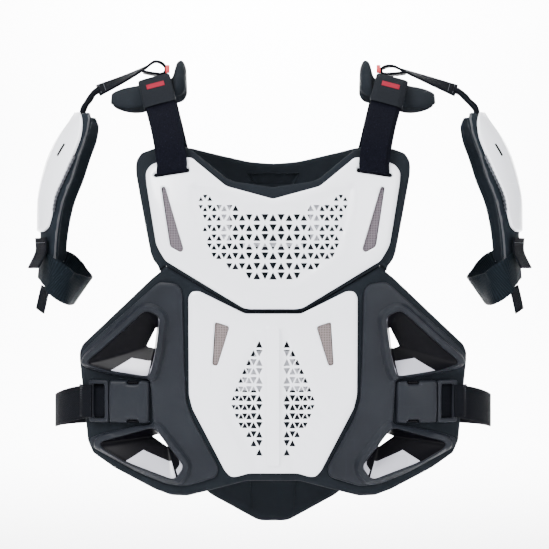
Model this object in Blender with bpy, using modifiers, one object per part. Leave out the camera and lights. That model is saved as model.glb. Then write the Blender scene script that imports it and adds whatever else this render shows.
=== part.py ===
"""Roost deflector: chest, belly and back panels on shoulder straps, with two arm guards.

Metres, +Z up. The wearer faces -Y, and the wearer's left is +X. The origin is the middle of the
shoulder line, at the underside of the shoulder pads.
"""

import math

import bpy
import numpy as np
from mathutils import Vector
from mathutils.geometry import delaunay_2d_cdt

# Body that the panels follow
TORSO_HALF_W = 0.250
TORSO_DEPTH = 0.112
TORSO_H = 0.460
TORSO_POWER = 2.3
BACK_DEPTH = 0.098

# Walls and gaps
GAP = 0.0006
CHEST_FOAM_T = 0.010
BODY_FOAM_T = 0.009
BACK_FOAM_T = 0.010
PLATE_T = 0.0026
SHELL_T = 0.0030
BACK_PLATE_T = 0.0025
MESH_T = 0.0010
WEBBING_T = 0.0022
DUCT_T = 0.0016
CELL = 0.0180
FOAM_CELL = 0.0220
BACK_CELL = 0.0300
MESH_CELL = 0.0400

# Chest plate
CHEST_TOP = -0.0687
CHEST_HALF_W = 0.1447
CHEST_H = 0.1709
CHEST_RIM = 0.0018
CHEST_RIM_W = 0.006

# Belly plate, body foam and side shells
BELLY_TOP = -0.2193
BELLY_HALF_W = 0.0952
BELLY_H = 0.2134
BELLY_RIM = 0.0014
SPINE_RISE = 0.0026
SPINE_HALF_W = 0.0068
SPINE_SLOPE = 0.0030
BODY_TOP = -0.2000
BODY_HALF_W = 0.2230
BODY_H = 0.2560
SIDE_ROOT = 0.5
SIDE_ROOT_X = 1.1712
BAND_RISE = 0.0050
BAND_W = 0.0080
DUCT_DROP = 0.0030
DUCT_LIP = 0.0020
DUCT_CLEARANCE = 0.0010
SHELL_RIM_W = 0.0050
FOAM_GAP = 0.0008
BACK_BORDER = 0.0090

# Vents
CHEST_VENT_W = 0.0059
CHEST_VENT_H = 0.0063
CHEST_VENT_PITCH = 0.01115
BELLY_VENT_W = 0.0053
BELLY_VENT_H = 0.0058
BELLY_VENT_PITCH = 0.01040

# Straps, shoulder pads and buckles
STRAP_W = 0.0360
STRAP_GAP = 0.0008
SLOT_X = 0.1142
SLOT_DROP = 0.0180
SLOT_SPARE = 0.0028
SLOT_LEAN = math.radians(8.0)
CROWN_X = 0.1435
CROWN_LEAN = math.radians(15.0)
SLEEVE_T = 0.0014
SLEEVE_GAP = 0.0006
SLEEVE_SPAN = (0.60, 0.88)
BACK_STRAP_X = 0.1170
BACK_STRAP_Z = -0.0780
PAD_HALF_DEPTH = 0.038
PAD_DROP = 0.026
PAD_INNER_X = 0.105
PAD_LENGTH = 0.0895
PAD_RISE = 0.0575
BUCKLE_DOWN = 0.574
BUCKLE_H = 0.0490
BUCKLE_T = 0.0095
BUCKLE_ACROSS = 0.8229
SOCKET_L = 0.0435
PRONG_NOTCH = 0.0040
NOTCH_SPAN = (0.25, 0.55)
FRAME_W = 0.0220
FRAME_BAR = 0.0045
FRAME_T = 0.0042
SIDE_STRAP_W = 0.0390
SIDE_TAB_W = 0.0150
SIDE_STRAP_END = 0.0950
WAIST_LIFT_AT = (0.0, 0.4, 0.7, 1.0)
WAIST_FALL = 0.0180
WAIST_FALL_BY = 0.42

# Arm guards
ARM_TOP = -0.0075
ARM_H = 0.1800
ARM_OUT = {"left": 0.2960, "right": 0.2800}
ARM_BULGE = 0.0440
ARM_RX = 0.0550
ARM_RY = 0.0600
ARM_SHELL_T = 0.0026
ARM_PAD_T = 0.0075
ARM_GAP = 0.0022
BICEP_GAP = 0.0008
BICEP_W = 0.0390
BICEP_T = 0.0024
HANGER_W = 0.0250
HANGER_FROM = 0.1295
HANGER_OUT = {"left": 0.2220, "right": 0.2125}
HANGER_PEAK = {"left": 0.0520, "right": 0.0575}
HANGER_END_Z = 0.0222
HANGER_Y = 0.0090
HANGER_TILT = math.radians(42.0)
TILT_SPAN = 0.7
LINK_W = 0.0140
LINK_T = 0.0036
LINK_GAP = 0.0010
LINK_BOW = 0.0030
PULL_TAB_X = 0.1270
PULL_TAB_W = 0.0048
PULL_TAB_H = 0.0100

SIDES = {"left": 1.0, "right": -1.0}

# Chest plate, half outline: share of half width, share of height
CHEST_OUTLINE = (
    (0.000, 0.281), (0.366, 0.196), (0.600, 0.034), (0.632, 0.009), (0.668, 0.000),
    (0.902, 0.029), (0.962, 0.049), (1.000, 0.096), (0.994, 0.164), (0.909, 0.574),
    (0.882, 0.621), (0.835, 0.685), (0.230, 0.993), (0.183, 1.000), (0.000, 1.000),
)

# Chest foam, half outline from the neck to the outer corner, and its lower edge
CHEST_FOAM_UP = (
    (0.000, 0.193), (0.306, 0.155), (0.366, 0.135), (0.549, 0.006), (0.652, -0.065),
    (0.942, -0.077), (1.049, -0.045), (1.085, 0.002), (1.093, 0.042), (1.089, 0.103),
    (0.966, 0.624), (0.943, 0.675), (0.900, 0.722), (0.893, 0.755),
)
CHEST_FOAM_LOW = ((0.846, 0.711), (0.234, 1.016), (0.000, 1.016))

# Chest side vent and the open field of the foam behind the vents, in shares of the chest
CHEST_SLIT = ((0.874, 0.200), (0.843, 0.197), (0.692, 0.611), (0.715, 0.631), (0.798, 0.592))
CHEST_FIELD = (
    (0.000, 0.272), (0.360, 0.210), (0.600, 0.190), (0.600, 0.400), (0.520, 0.660),
    (0.260, 0.740), (0.130, 0.840), (0.000, 0.840),
)

# Belly plate, half outline: share of half width, share of height
BELLY_OUTLINE = (
    (0.000, 0.120), (0.333, 0.120), (0.876, 0.000), (0.960, 0.002), (1.000, 0.031),
    (1.000, 0.524), (0.998, 0.562), (0.960, 0.632), (0.574, 0.969), (0.507, 1.000),
    (0.435, 1.000), (0.291, 0.981), (0.000, 0.981),
)
BELLY_SLIT = ((0.686, 0.163), (0.514, 0.188), (0.659, 0.397), (0.720, 0.394))
BELLY_FIELD = (
    (0.090, 0.250), (0.220, 0.250), (0.530, 0.600), (0.530, 0.660), (0.220, 0.910), (0.090, 0.910),
)

# Body foam, outer half outline: share of half width, share of height
BODY_OUTLINE = (
    (0.590, 0.000), (0.617, 0.018), (0.983, 0.319), (1.000, 0.355), (1.000, 0.396),
    (0.988, 0.495), (0.967, 0.688), (0.959, 0.760), (0.931, 0.817), (0.819, 0.881),
    (0.607, 0.973), (0.525, 0.998), (0.442, 1.000), (0.327, 0.974), (0.139, 0.930), (0.000, 0.930),
)

# Side shell in shares of the body foam, with a bay for the buckle between its two windows
SHELL_OUTLINE = (
    (0.556, 0.036), (0.489, 0.043), (0.458, 0.072), (0.450, 0.394), (0.442, 0.567),
    (0.409, 0.652), (0.278, 0.867), (0.286, 0.910), (0.442, 0.953), (0.540, 0.946),
    (0.689, 0.895), (0.926, 0.787), (0.941, 0.752), (0.877, 0.724), (0.689, 0.684),
    (0.607, 0.676), (0.622, 0.472), (0.828, 0.452), (0.970, 0.421), (0.981, 0.387),
    (0.968, 0.351), (0.893, 0.284), (0.581, 0.040),
)

# Duct windows in shares of the body foam: window across, window down, hole across, hole down
UPPER_DUCT = (
    (0.638, 0.158, 0.610, 0.241), (0.565, 0.189, 0.603, 0.250), (0.590, 0.351, 0.615, 0.333),
    (0.614, 0.437, 0.623, 0.398), (0.633, 0.459, 0.632, 0.404), (0.820, 0.436, 0.679, 0.393),
    (0.926, 0.408, 0.691, 0.388), (0.928, 0.391, 0.692, 0.380),
)
LOWER_DUCT = (
    (0.600, 0.686, 0.590, 0.722), (0.446, 0.864, 0.504, 0.833), (0.498, 0.928, 0.503, 0.840),
    (0.733, 0.853, 0.598, 0.784), (0.867, 0.786, 0.656, 0.752), (0.869, 0.760, 0.660, 0.745),
)

# Back panel, half outline in metres from the neck down
BACK_OUTLINE = (
    (0.000, -0.0635), (0.030, -0.0612), (0.075, -0.0510), (0.105, -0.0435), (0.122, -0.0440),
    (0.133, -0.0560), (0.135, -0.0900), (0.128, -0.2000), (0.118, -0.3500), (0.108, -0.4400),
    (0.081, -0.4747), (0.018, -0.5096), (0.000, -0.5096),
)

# Depth of the torso: share of its height from the shoulder line down, share of its depth
TORSO_ROWS = (
    (-0.10, 0.50), (0.00, 0.60), (0.10, 0.73), (0.20, 0.86), (0.30, 0.95),
    (0.42, 1.00), (0.55, 0.985), (0.70, 0.93), (0.85, 0.89), (1.00, 0.87), (1.20, 0.86),
)

# Strap from the chest slot to the crown of the shoulder: share across, forward and up
STRAP_ROWS = (
    (0.00, 0.00, 0.00), (0.10, 0.04, 0.165), (0.31, 0.19, 0.41), (0.57, 0.39, 0.63),
    (0.78, 0.565, 0.82), (0.95, 0.77, 0.96), (1.00, 1.00, 1.00),
)

# Shoulder pad along its length: share of length, share of rise, thickness, share of depth
PAD_ROWS = (
    (0.00, 0.950, 0.027, 0.82), (0.09, 1.000, 0.033, 0.98), (0.13, 0.930, 0.028, 1.00),
    (0.175, 0.680, 0.012, 1.00), (0.24, 0.620, 0.010, 1.00), (0.43, 0.600, 0.009, 1.00),
    (0.64, 0.485, 0.010, 0.95), (0.84, 0.420, 0.009, 0.80), (1.00, 0.330, 0.006, 0.50),
)

# Strap from the crown of the shoulder to the back panel: share across, back and down
BACK_STRAP_ROWS = (
    (0.00, 0.00, 0.000), (0.06, 0.22, 0.045), (0.22, 0.45, 0.170), (0.45, 0.70, 0.400),
    (0.70, 0.88, 0.650), (0.90, 0.97, 0.850), (1.00, 1.00, 1.000),
)

# Hanger loop from its outer end: share out, share of the peak, share of the outer end's drop
HANGER_ROWS = (
    (1.00, 0.00, 1.00), (0.60, 0.15, 0.35), (0.30, 0.60, 0.05), (0.15, 1.00, 0.00), (0.04, 0.75, 0.00),
    (0.00, 0.30, 0.00), (0.04, 0.00, 0.00), (0.11, 0.00, 0.00), (0.20, 0.05, 0.00), (0.34, 0.20, 0.00),
)

# Arm guard from the top down: share of height, share of bulge, shell angle, pad angle (degrees)
ARM_ROWS = (
    (0.00, -0.06, 28.0, 44.0), (0.06, 0.12, 46.0, 55.0), (0.15, 0.40, 62.0, 67.0),
    (0.27, 0.665, 67.5, 72.0), (0.43, 0.875, 63.0, 72.0), (0.57, 0.985, 55.5, 66.0),
    (0.69, 1.00, 51.0, 60.0), (0.79, 1.00, 44.0, 56.0), (1.00, 0.99, 40.0, 51.0),
)
ARM_SHELL_END = 0.79

# Bicep strap where it lies on the arm pad: angle (degrees), share of height
BICEP_FRONT = ((14.0, 0.995), (36.0, 1.035), (53.0, 1.085))
BICEP_BACK = ((53.0, 1.015), (36.0, 0.990), (14.0, 0.970))

# Bicep strap where it hangs free: share of its reach inwards, share of the arm's depth, share of height
BICEP_FREE = (
    (0.64, -0.76, 1.150), (0.83, -0.42, 1.178), (0.93, -0.04, 1.180),
    (0.87, 0.34, 1.150), (0.68, 0.72, 1.085),
)
BICEP_REACH = 0.0540

# Hook end of the bicep strap: share of height, stand-off; and its tail: share along, share down
BICEP_TAB_ROWS = ((0.83, 0.000), (0.92, 0.000), (0.98, 0.005), (1.03, 0.010))
TAB_TURN = -31.0
BICEP_TAIL_ROWS = ((0.0, 0.0), (0.35, 0.0), (0.65, 0.05), (0.9, 0.1))
TAIL_AT = 4
TAIL_GAP = 0.0009
BICEP_FLARE = 0.7
FLARE_POWER = 5
BICEP_TAB_W = 0.0340
BICEP_TAIL_W = 0.0180
BICEP_TAIL_L = 0.0300


def smooth(rows, at):
    """Reads a table at the given places, on a cubic through its rows with the mean slopes."""
    table = np.array(rows, float)
    at = np.asarray(at, float)
    x, y = table[:, 0], table[:, 1:]
    slope = np.gradient(y, x, axis=0)
    i = np.clip(np.searchsorted(x, at) - 1, 0, len(x) - 2)
    h = (x[i + 1] - x[i])[..., None]
    t = np.clip((at - x[i]) / (x[i + 1] - x[i]), 0, 1)[..., None]
    start = (2 * t**3 - 3 * t**2 + 1) * y[i] + (t**3 - 2 * t**2 + t) * h * slope[i]
    return start + (3 * t**2 - 2 * t**3) * y[i + 1] + (t**3 - t**2) * h * slope[i + 1]


def torso_y(x, z, side):
    """Front or back of the body: a superellipse across, whose depth follows TORSO_ROWS."""
    share = smooth(TORSO_ROWS, -np.asarray(z) / TORSO_H)[..., 0]
    across = np.clip(np.abs(x) / TORSO_HALF_W, 0, 0.985) ** TORSO_POWER
    depth = {"front": -TORSO_DEPTH, "back": BACK_DEPTH}[side]
    return depth * share * (1 - across) ** (1 / TORSO_POWER)


def on_torso(x, z, side, lift):
    """Points that stand lift above the body, along its normal."""
    x, z = np.asarray(x, float), np.asarray(z, float)
    step = 1e-4
    sign = {"front": 1.0, "back": -1.0}[side]
    dx = (torso_y(x + step, z, side) - torso_y(x - step, z, side)) / (2 * step)
    dz = (torso_y(x, z + step, side) - torso_y(x, z - step, side)) / (2 * step)
    normal = np.stack([dx * sign, -np.ones_like(dx) * sign, dz * sign], -1)
    normal /= np.linalg.norm(normal, axis=-1, keepdims=True)
    return np.stack([x, torso_y(x, z, side), z], -1) + normal * np.asarray(lift)[..., None]


def scaled(rows, half_width, top, height):
    """A table of shares as points in metres."""
    return [(across * half_width, top - down * height) for across, down in rows]


def body_points(rows):
    """The body foam's shares as points: up to SIDE_ROOT they follow the belly plate's width."""
    root = SIDE_ROOT_X * BELLY_HALF_W
    across = np.interp([row[0] for row in rows], (0, SIDE_ROOT, 1), (0, root, BODY_HALF_W))
    return [(float(x), BODY_TOP - row[1] * BODY_H) for x, row in zip(across, rows)]


def mirrored(half):
    """A whole outline from its half at +X, whose first and last points lie on the middle."""
    return list(half) + [(-x, z) for x, z in reversed(half) if abs(x) > 1e-6]


def sided(points, side):
    """An outline at +X, or its mirror image at -X."""
    return [(SIDES[side] * x, z) for x, z in points]


def inside(points, loop):
    """Which points lie inside a loop, by counting the edges to one side of each."""
    loop = np.array(loop)
    after = np.roll(loop, -1, 0)
    px, pz = points[:, :1], points[:, 1:]
    crosses = (loop[:, 1] > pz) != (after[:, 1] > pz)
    rise = np.where(after[:, 1] == loop[:, 1], 1.0, after[:, 1] - loop[:, 1])
    at = loop[:, 0] + (pz - loop[:, 1]) * (after[:, 0] - loop[:, 0]) / rise
    return (crosses & (px < at)).sum(1) % 2 == 1


def distance(points, loop):
    """How far each point lies from a loop's edges."""
    loop = np.array(loop)
    along = np.roll(loop, -1, 0) - loop
    to = points[:, None] - loop
    t = np.clip((to * along).sum(-1) / (along**2).sum(-1), 0, 1)
    return np.linalg.norm(to - t[..., None] * along, axis=-1).min(1)


def grown(loop, by):
    """The loop moved outwards by a distance, each corner along its mitre."""
    loop = np.array(loop)
    before, after = loop - np.roll(loop, 1, 0), np.roll(loop, -1, 0) - loop
    area = (loop[:, 0] * np.roll(loop, -1, 0)[:, 1] - np.roll(loop, -1, 0)[:, 0] * loop[:, 1]).sum()
    turn = math.copysign(1.0, area)
    first = np.stack([before[:, 1], -before[:, 0]], -1) * turn
    first /= np.linalg.norm(first, axis=1, keepdims=True)
    second = np.stack([after[:, 1], -after[:, 0]], -1) * turn
    second /= np.linalg.norm(second, axis=1, keepdims=True)
    mitre = first + second
    mitre /= np.maximum((mitre * first).sum(1, keepdims=True), 0.5)
    return [tuple(p) for p in loop + mitre * by]


def start_scene():
    """Clears the scene, and makes the collection that the pieces go in."""
    for obj in list(bpy.data.objects):
        bpy.data.objects.remove(obj, do_unlink=True)
    pieces = bpy.data.collections.new("roost_deflector")
    bpy.context.scene.collection.children.link(pieces)
    return pieces


def look(name, colour, roughness, metallic=0.0):
    """A plain material of one colour."""
    material = bpy.data.materials.new(name)
    material.use_nodes = True
    shader = material.node_tree.nodes["Principled BSDF"]
    shader.inputs["Base Color"].default_value = (*colour, 1.0)
    shader.inputs["Roughness"].default_value = roughness
    shader.inputs["Metallic"].default_value = metallic
    return material


PIECES = start_scene()
WHITE = look("white_plastic", (0.80, 0.81, 0.85), 0.25)
DARK = look("dark_plastic", (0.040, 0.045, 0.055), 0.55)
GLOSS = look("gloss_black_plastic", (0.02, 0.02, 0.025), 0.15)
FOAM = look("black_foam", (0.018, 0.022, 0.030), 0.85)
WEBBING = look("black_webbing", (0.010, 0.012, 0.020), 0.90)
MESH = look("grey_mesh", (0.22, 0.20, 0.21), 0.70)
RED = look("red_webbing", (0.75, 0.05, 0.07), 0.70)


def add_piece(name, points, faces, material, wall=0.0, outwards=1.0):
    """A mesh object; where wall is given, an open surface that Solidify thickens."""
    mesh = bpy.data.meshes.new(name)
    mesh.from_pydata([tuple(p) for p in points], [], [tuple(map(int, f)) for f in faces])
    mesh.materials.append(material)
    mesh.shade_smooth()
    mesh.set_sharp_from_angle(angle=math.radians(35))
    piece = bpy.data.objects.new(name, mesh)
    PIECES.objects.link(piece)
    if wall:
        thick = piece.modifiers.new("Wall", "SOLIDIFY")
        thick.thickness = wall
        thick.offset = outwards
        thick.use_even_offset = False
    return piece


def divided(loop, step):
    """The loop with its long edges split, so that it bends with the body."""
    found = []
    for here, there in zip(loop, loop[1:] + loop[:1]):
        count = max(1, math.ceil(math.dist(here, there) / step))
        found += [tuple(np.array(here) + (np.array(there) - here) * i / count) for i in range(count)]
    return found


def flat_mesh(outline, holes, creases, cell):
    """Triangles of an outline with holes, whose creases are edges, over a square grid."""
    outline = divided(outline, cell)
    holes = [divided(loop, cell) for loop in holes]
    loops = [outline, *holes, *(divided(loop, cell) for loop in creases)]
    points = [Vector(p) for loop in loops for p in loop]
    edges, start = [], 0
    for loop in loops:
        edges += [(start + i, start + (i + 1) % len(loop)) for i in range(len(loop))]
        start += len(loop)
    reach = math.ceil(max(abs(v) for p in outline for v in p) / cell)
    steps = np.arange(-reach, reach + 1) * cell
    grid = np.stack(np.meshgrid(steps, steps), -1).reshape(-1, 2)
    grid = grid[inside(grid, outline)]
    for loop in loops:
        grid = grid[distance(grid, loop) > 0.42 * cell]
    for loop in holes:
        grid = grid[~inside(grid, loop)]
    points += [Vector(p) for p in grid]
    found, _, faces, *_ = delaunay_2d_cdt(points, edges, [], 0, 1e-7)
    found, faces = np.array([tuple(p) for p in found]), np.array(faces)
    middle = found[faces].mean(1)
    keep = inside(middle, outline)
    for loop in holes:
        keep &= ~inside(middle, loop)
    return found, faces[keep]


def panel(name, side, lift, wall, material, outline, holes=(), creases=(), relief=None, cell=CELL):
    """A slab that follows the body: its inner face stands lift above it, and relief adds to that."""
    flat, faces = flat_mesh(list(outline), list(holes), list(creases), cell)
    raised = lift + (relief(flat) if relief else 0.0)
    points = on_torso(flat[:, 0], flat[:, 1], side, raised + np.zeros(len(flat)))
    if side == "back":
        faces = faces[:, ::-1]
    return add_piece(name, points, faces, material, wall)


def along(points, count):
    """A path through the points, resampled evenly by its length."""
    points = np.array(points, float)
    length = np.r_[0, np.cumsum(np.linalg.norm(np.diff(points, axis=0), axis=1))]
    return smooth(np.column_stack([length, points]), np.linspace(0, length[-1], count))


def directions(path):
    """The unit tangent at each point of a path."""
    ahead = np.gradient(path, axis=0)
    return ahead / np.linalg.norm(ahead, axis=1, keepdims=True)


def across_of(path, wanted):
    """The wanted width directions, turned square to the path."""
    ahead = directions(path)
    wanted = np.broadcast_to(np.asarray(wanted, float), path.shape)
    square = wanted - (wanted * ahead).sum(1, keepdims=True) * ahead
    return square / np.linalg.norm(square, axis=1, keepdims=True)


def grid_faces(rows, columns):
    """Quads of a grid of points, row after row."""
    i, j = np.meshgrid(np.arange(rows - 1), np.arange(columns - 1), indexing="ij")
    first = (i * columns + j).ravel()
    return np.stack([first, first + 1, first + columns + 1, first + columns], 1)


def ribbon(name, path, wanted, width, wall, material, columns=2):
    """A flat strap of one width along a path, its wall half to each side."""
    across = across_of(path, wanted)
    at = np.linspace(-0.5, 0.5, columns) * width
    points = path[:, None] + across[:, None] * at[None, :, None]
    return add_piece(name, points.reshape(-1, 3), grid_faces(len(path), columns), material, wall, 0.0)


def ring_loft(name, rings, material, hollow=False):
    """A skin over rings of equal count, capped at both ends, or closed on itself where hollow."""
    rings = np.array(rings, float)
    count, size = rings.shape[:2]
    faces = []
    for i in range(count if hollow else count - 1):
        for j in range(size):
            a, b = i * size + j, i * size + (j + 1) % size
            faces.append((a, b, (b + size) % (count * size), (a + size) % (count * size)))
    if not hollow:
        faces.append(tuple(range(size))[::-1])
        faces.append(tuple(range((count - 1) * size, count * size)))
    piece = add_piece(name, rings.reshape(-1, 3), faces, material)
    face_out(piece.data)
    return piece


def face_out(mesh):
    """Turns a closed mesh's faces outwards, by the sign of its volume."""
    mesh.calc_loop_triangles()
    corners = np.array([[mesh.vertices[v].co for v in t.vertices] for t in mesh.loop_triangles])
    if np.linalg.det(corners).sum() < 0:
        mesh.flip_normals()


def triangle(x, z, width, height, up):
    """One vent, its apex up or down."""
    rise = height / 2 if up else -height / 2
    return [(x - width / 2, z - rise), (x + width / 2, z - rise), (x, z + rise)]


# Vent columns from the middle outwards in shares of the plate's half width, and each row's last column
CHEST_COLUMNS = (0.0, 0.063, 0.126, 0.186, 0.241, 0.293)
CHEST_ROW_ENDS = (5, 5, 5, 5, 5, 4, 1)
CHEST_VENT_SHRINK = 0.035
BELLY_COLUMNS = (0.164, 0.232)
BELLY_ROW_ENDS = (0, 1, 1, 1, 1, 1, 1, 1, 1, 1, 1, 1, 0)
FIRST_CHEST_ROW = 0.388
FIRST_BELLY_ROW = 0.281


def chest_vents():
    """Rows of triangles that point up and down in turn, smaller outwards."""
    found = []
    top = CHEST_TOP - FIRST_CHEST_ROW * CHEST_H
    for row, last in enumerate(CHEST_ROW_ENDS, 1):
        for column in range(-last, last + 1):
            x = math.copysign(CHEST_COLUMNS[abs(column)] * CHEST_HALF_W, column)
            size = 1 - CHEST_VENT_SHRINK * abs(column)
            z = top - (row - 1) * CHEST_VENT_PITCH
            up = (abs(column) + row) % 2 == 1
            found.append(triangle(x, z, CHEST_VENT_W * size, CHEST_VENT_H * size, up))
    return found


def belly_vents():
    """The same on each side of the spine."""
    found = []
    top = BELLY_TOP - FIRST_BELLY_ROW * BELLY_H
    for sign in (-1, 1):
        for row, last in enumerate(BELLY_ROW_ENDS, 1):
            for column, share in enumerate(BELLY_COLUMNS[: last + 1], 1):
                z = top - (row - 1) * BELLY_VENT_PITCH
                size = 1 - CHEST_VENT_SHRINK * (column - 1)
                up = (column + row) % 2 == 0
                x = sign * share * BELLY_HALF_W
                found.append(triangle(x, z, BELLY_VENT_W * size, BELLY_VENT_H * size, up))
    return found


def strap_slot(sign):
    """The slot where a strap goes into the chest plate, square to the strap's lean."""
    half, tall = STRAP_W / 2 + SLOT_SPARE, WEBBING_T / 2 + SLOT_SPARE
    corners = ((-half, -tall), (half, -tall), (half + tall, 0.0), (half, tall), (-half, tall))
    c, s = math.cos(SLOT_LEAN), math.sin(SLOT_LEAN)
    z = CHEST_TOP - SLOT_DROP
    return [(sign * (SLOT_X + a * c + b * s), z - a * s + b * c) for a, b in corners]


def rim_of(outline, width, rise, peaks=()):
    """A lift that grows from the outline inwards, and round each window in peaks."""
    def relief(flat):
        lift = rise * np.minimum(distance(flat, outline) / width, 1)
        for loop in peaks:
            lift += BAND_RISE * np.maximum(1 - distance(flat, loop) / BAND_W, 0)
        return lift
    return relief


def spine_relief(outline):
    """The belly plate's rim, with the spine raised down its middle."""
    rim = rim_of(outline, CHEST_RIM_W, BELLY_RIM)
    low, high = BELLY_TOP - 0.935 * BELLY_H, BELLY_TOP - 0.195 * BELLY_H
    def relief(flat):
        in_x = (SPINE_HALF_W + SPINE_SLOPE - np.abs(flat[:, 0])) / SPINE_SLOPE
        in_z = np.minimum(flat[:, 1] - low, high - flat[:, 1]) / SPINE_SLOPE
        return rim(flat) + SPINE_RISE * np.clip(np.minimum(in_x, in_z), 0, 1)
    half = SPINE_HALF_W
    foot, head = low + SPINE_SLOPE, high - SPINE_SLOPE
    crest = [(-half, foot), (half, foot), (half, head), (-half, head)]
    return relief, [crest, grown(crest, SPINE_SLOPE)]


def make_chest():
    """Chest plate, its foam border and the mesh in its side vents."""
    outline = mirrored(scaled(CHEST_OUTLINE, CHEST_HALF_W, CHEST_TOP, CHEST_H))
    slit = scaled(CHEST_SLIT, CHEST_HALF_W, CHEST_TOP, CHEST_H)
    holes = chest_vents()
    for sign in SIDES.values():
        holes += [strap_slot(sign), [(sign * x, z) for x, z in slit]]
    relief = rim_of(outline, CHEST_RIM_W, CHEST_RIM)
    lift = CHEST_FOAM_T + GAP
    creases = [grown(outline, -CHEST_RIM_W)]
    panel("chest_plate", "front", lift, PLATE_T, WHITE, outline, holes, creases, relief)
    border = mirrored(scaled(CHEST_FOAM_UP + CHEST_FOAM_LOW, CHEST_HALF_W, CHEST_TOP, CHEST_H))
    field = mirrored(scaled(CHEST_FIELD, CHEST_HALF_W, CHEST_TOP, CHEST_H))
    panel("chest_foam", "front", 0.0, CHEST_FOAM_T, FOAM, border, [field], cell=FOAM_CELL)
    for side in SIDES:
        inner = sided(grown(slit, -GAP), side)
        panel(f"chest_mesh_{side}", "front", lift, MESH_T, MESH, inner, cell=MESH_CELL)


def windows(rows):
    """The duct windows at +X: the outline in the shell and the one of the hole under it."""
    outer = [(row[0], row[1]) for row in rows]
    inner = [(row[2], row[3]) for row in rows]
    return body_points(outer), body_points(inner)


def make_belly():
    """Belly plate with its spine, and the mesh in its side vents."""
    outline = mirrored(scaled(BELLY_OUTLINE, BELLY_HALF_W, BELLY_TOP, BELLY_H))
    slit = scaled(BELLY_SLIT, BELLY_HALF_W, BELLY_TOP, BELLY_H)
    holes = belly_vents() + [slit, [(-x, z) for x, z in slit]]
    relief, creases = spine_relief(outline)
    creases.append(grown(outline, -CHEST_RIM_W))
    lift = BODY_FOAM_T + GAP
    panel("belly_plate", "front", lift, PLATE_T, WHITE, outline, holes, creases, relief)
    for side in SIDES:
        inner = sided(grown(slit, -GAP), side)
        panel(f"belly_mesh_{side}", "front", lift, MESH_T, MESH, inner, cell=MESH_CELL)


def make_body_foam():
    """The lower foam: its top edge follows the chest foam, and it is open at ducts and vents."""
    low = CHEST_FOAM_UP[-1:] + CHEST_FOAM_LOW
    top = [(x, z - FOAM_GAP) for x, z in scaled(low, CHEST_HALF_W, CHEST_TOP, CHEST_H)][::-1]
    half = top + body_points(BODY_OUTLINE)
    field = scaled(BELLY_FIELD, BELLY_HALF_W, BELLY_TOP, BELLY_H)
    holes = []
    for side in SIDES:
        holes.append(sided(field, side))
        for rows in (UPPER_DUCT, LOWER_DUCT):
            holes.append(sided(grown(windows(rows)[0], DUCT_LIP + DUCT_CLEARANCE), side))
    panel("body_foam", "front", 0.0, BODY_FOAM_T, FOAM, mirrored(half), holes, cell=FOAM_CELL)


def make_side(side):
    """One dark side shell with its two ducts."""
    outline = body_points(SHELL_OUTLINE)
    ducts = {"upper": windows(UPPER_DUCT), "lower": windows(LOWER_DUCT)}
    loops = [sided(outer, side) for outer, _ in ducts.values()]
    outline = sided(outline, side)
    lift = BODY_FOAM_T + GAP
    relief = rim_of(outline, SHELL_RIM_W, 0.0, loops)
    creases = [grown(loop, BAND_W) for loop in loops]
    panel(f"side_shell_{side}", "front", lift, SHELL_T, DARK, outline, loops, creases, relief)
    for name, (outer, inner) in ducts.items():
        top = lift + BAND_RISE * (1 - DUCT_LIP / BAND_W) - GAP
        rings = []
        for loop, level in (
            (grown(outer, DUCT_LIP), top),
            (grown(inner, DUCT_T), -DUCT_DROP),
            (inner, -DUCT_DROP),
            (grown(outer, DUCT_LIP - DUCT_T), top),
        ):
            flat = np.array(sided(loop, side))
            rings.append(on_torso(flat[:, 0], flat[:, 1], "front", np.full(len(flat), level)))
        ring_loft(f"duct_{name}_{side}", rings, GLOSS, hollow=True)


def waist(side, start_x, end_x, z, front_lift, back_lift, count):
    """A path round the body's side, from start_x in front to end_x at the back."""
    share = float(smooth(TORSO_ROWS, -z / TORSO_H)[0])
    first = math.acos((start_x / TORSO_HALF_W) ** (TORSO_POWER / 2))
    last = -math.acos((end_x / TORSO_HALF_W) ** (TORSO_POWER / 2))
    angle = np.linspace(first, last, count)
    power = 2 / TORSO_POWER
    x = TORSO_HALF_W * np.cos(angle) ** power
    depth = np.where(angle > 0, -TORSO_DEPTH, BACK_DEPTH) * share
    y = depth * np.abs(np.sin(angle)) ** power
    ahead = np.gradient(np.stack([x, y], -1), axis=0)
    out = np.stack([ahead[:, 1], -ahead[:, 0]], -1) / np.linalg.norm(ahead, axis=1, keepdims=True)
    lifts = (front_lift, front_lift, back_lift, back_lift)
    lift = np.interp(np.linspace(0, 1, count), WAIST_LIFT_AT, lifts)[:, None]
    flat = np.stack([x, y], -1) + out * lift
    fall = np.clip(np.linspace(0, 1, count) / WAIST_FALL_BY, 0, 1)
    height = z - WAIST_FALL * fall * fall * (3 - 2 * fall)
    return np.column_stack([SIDES[side] * flat[:, 0], flat[:, 1], height])


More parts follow.
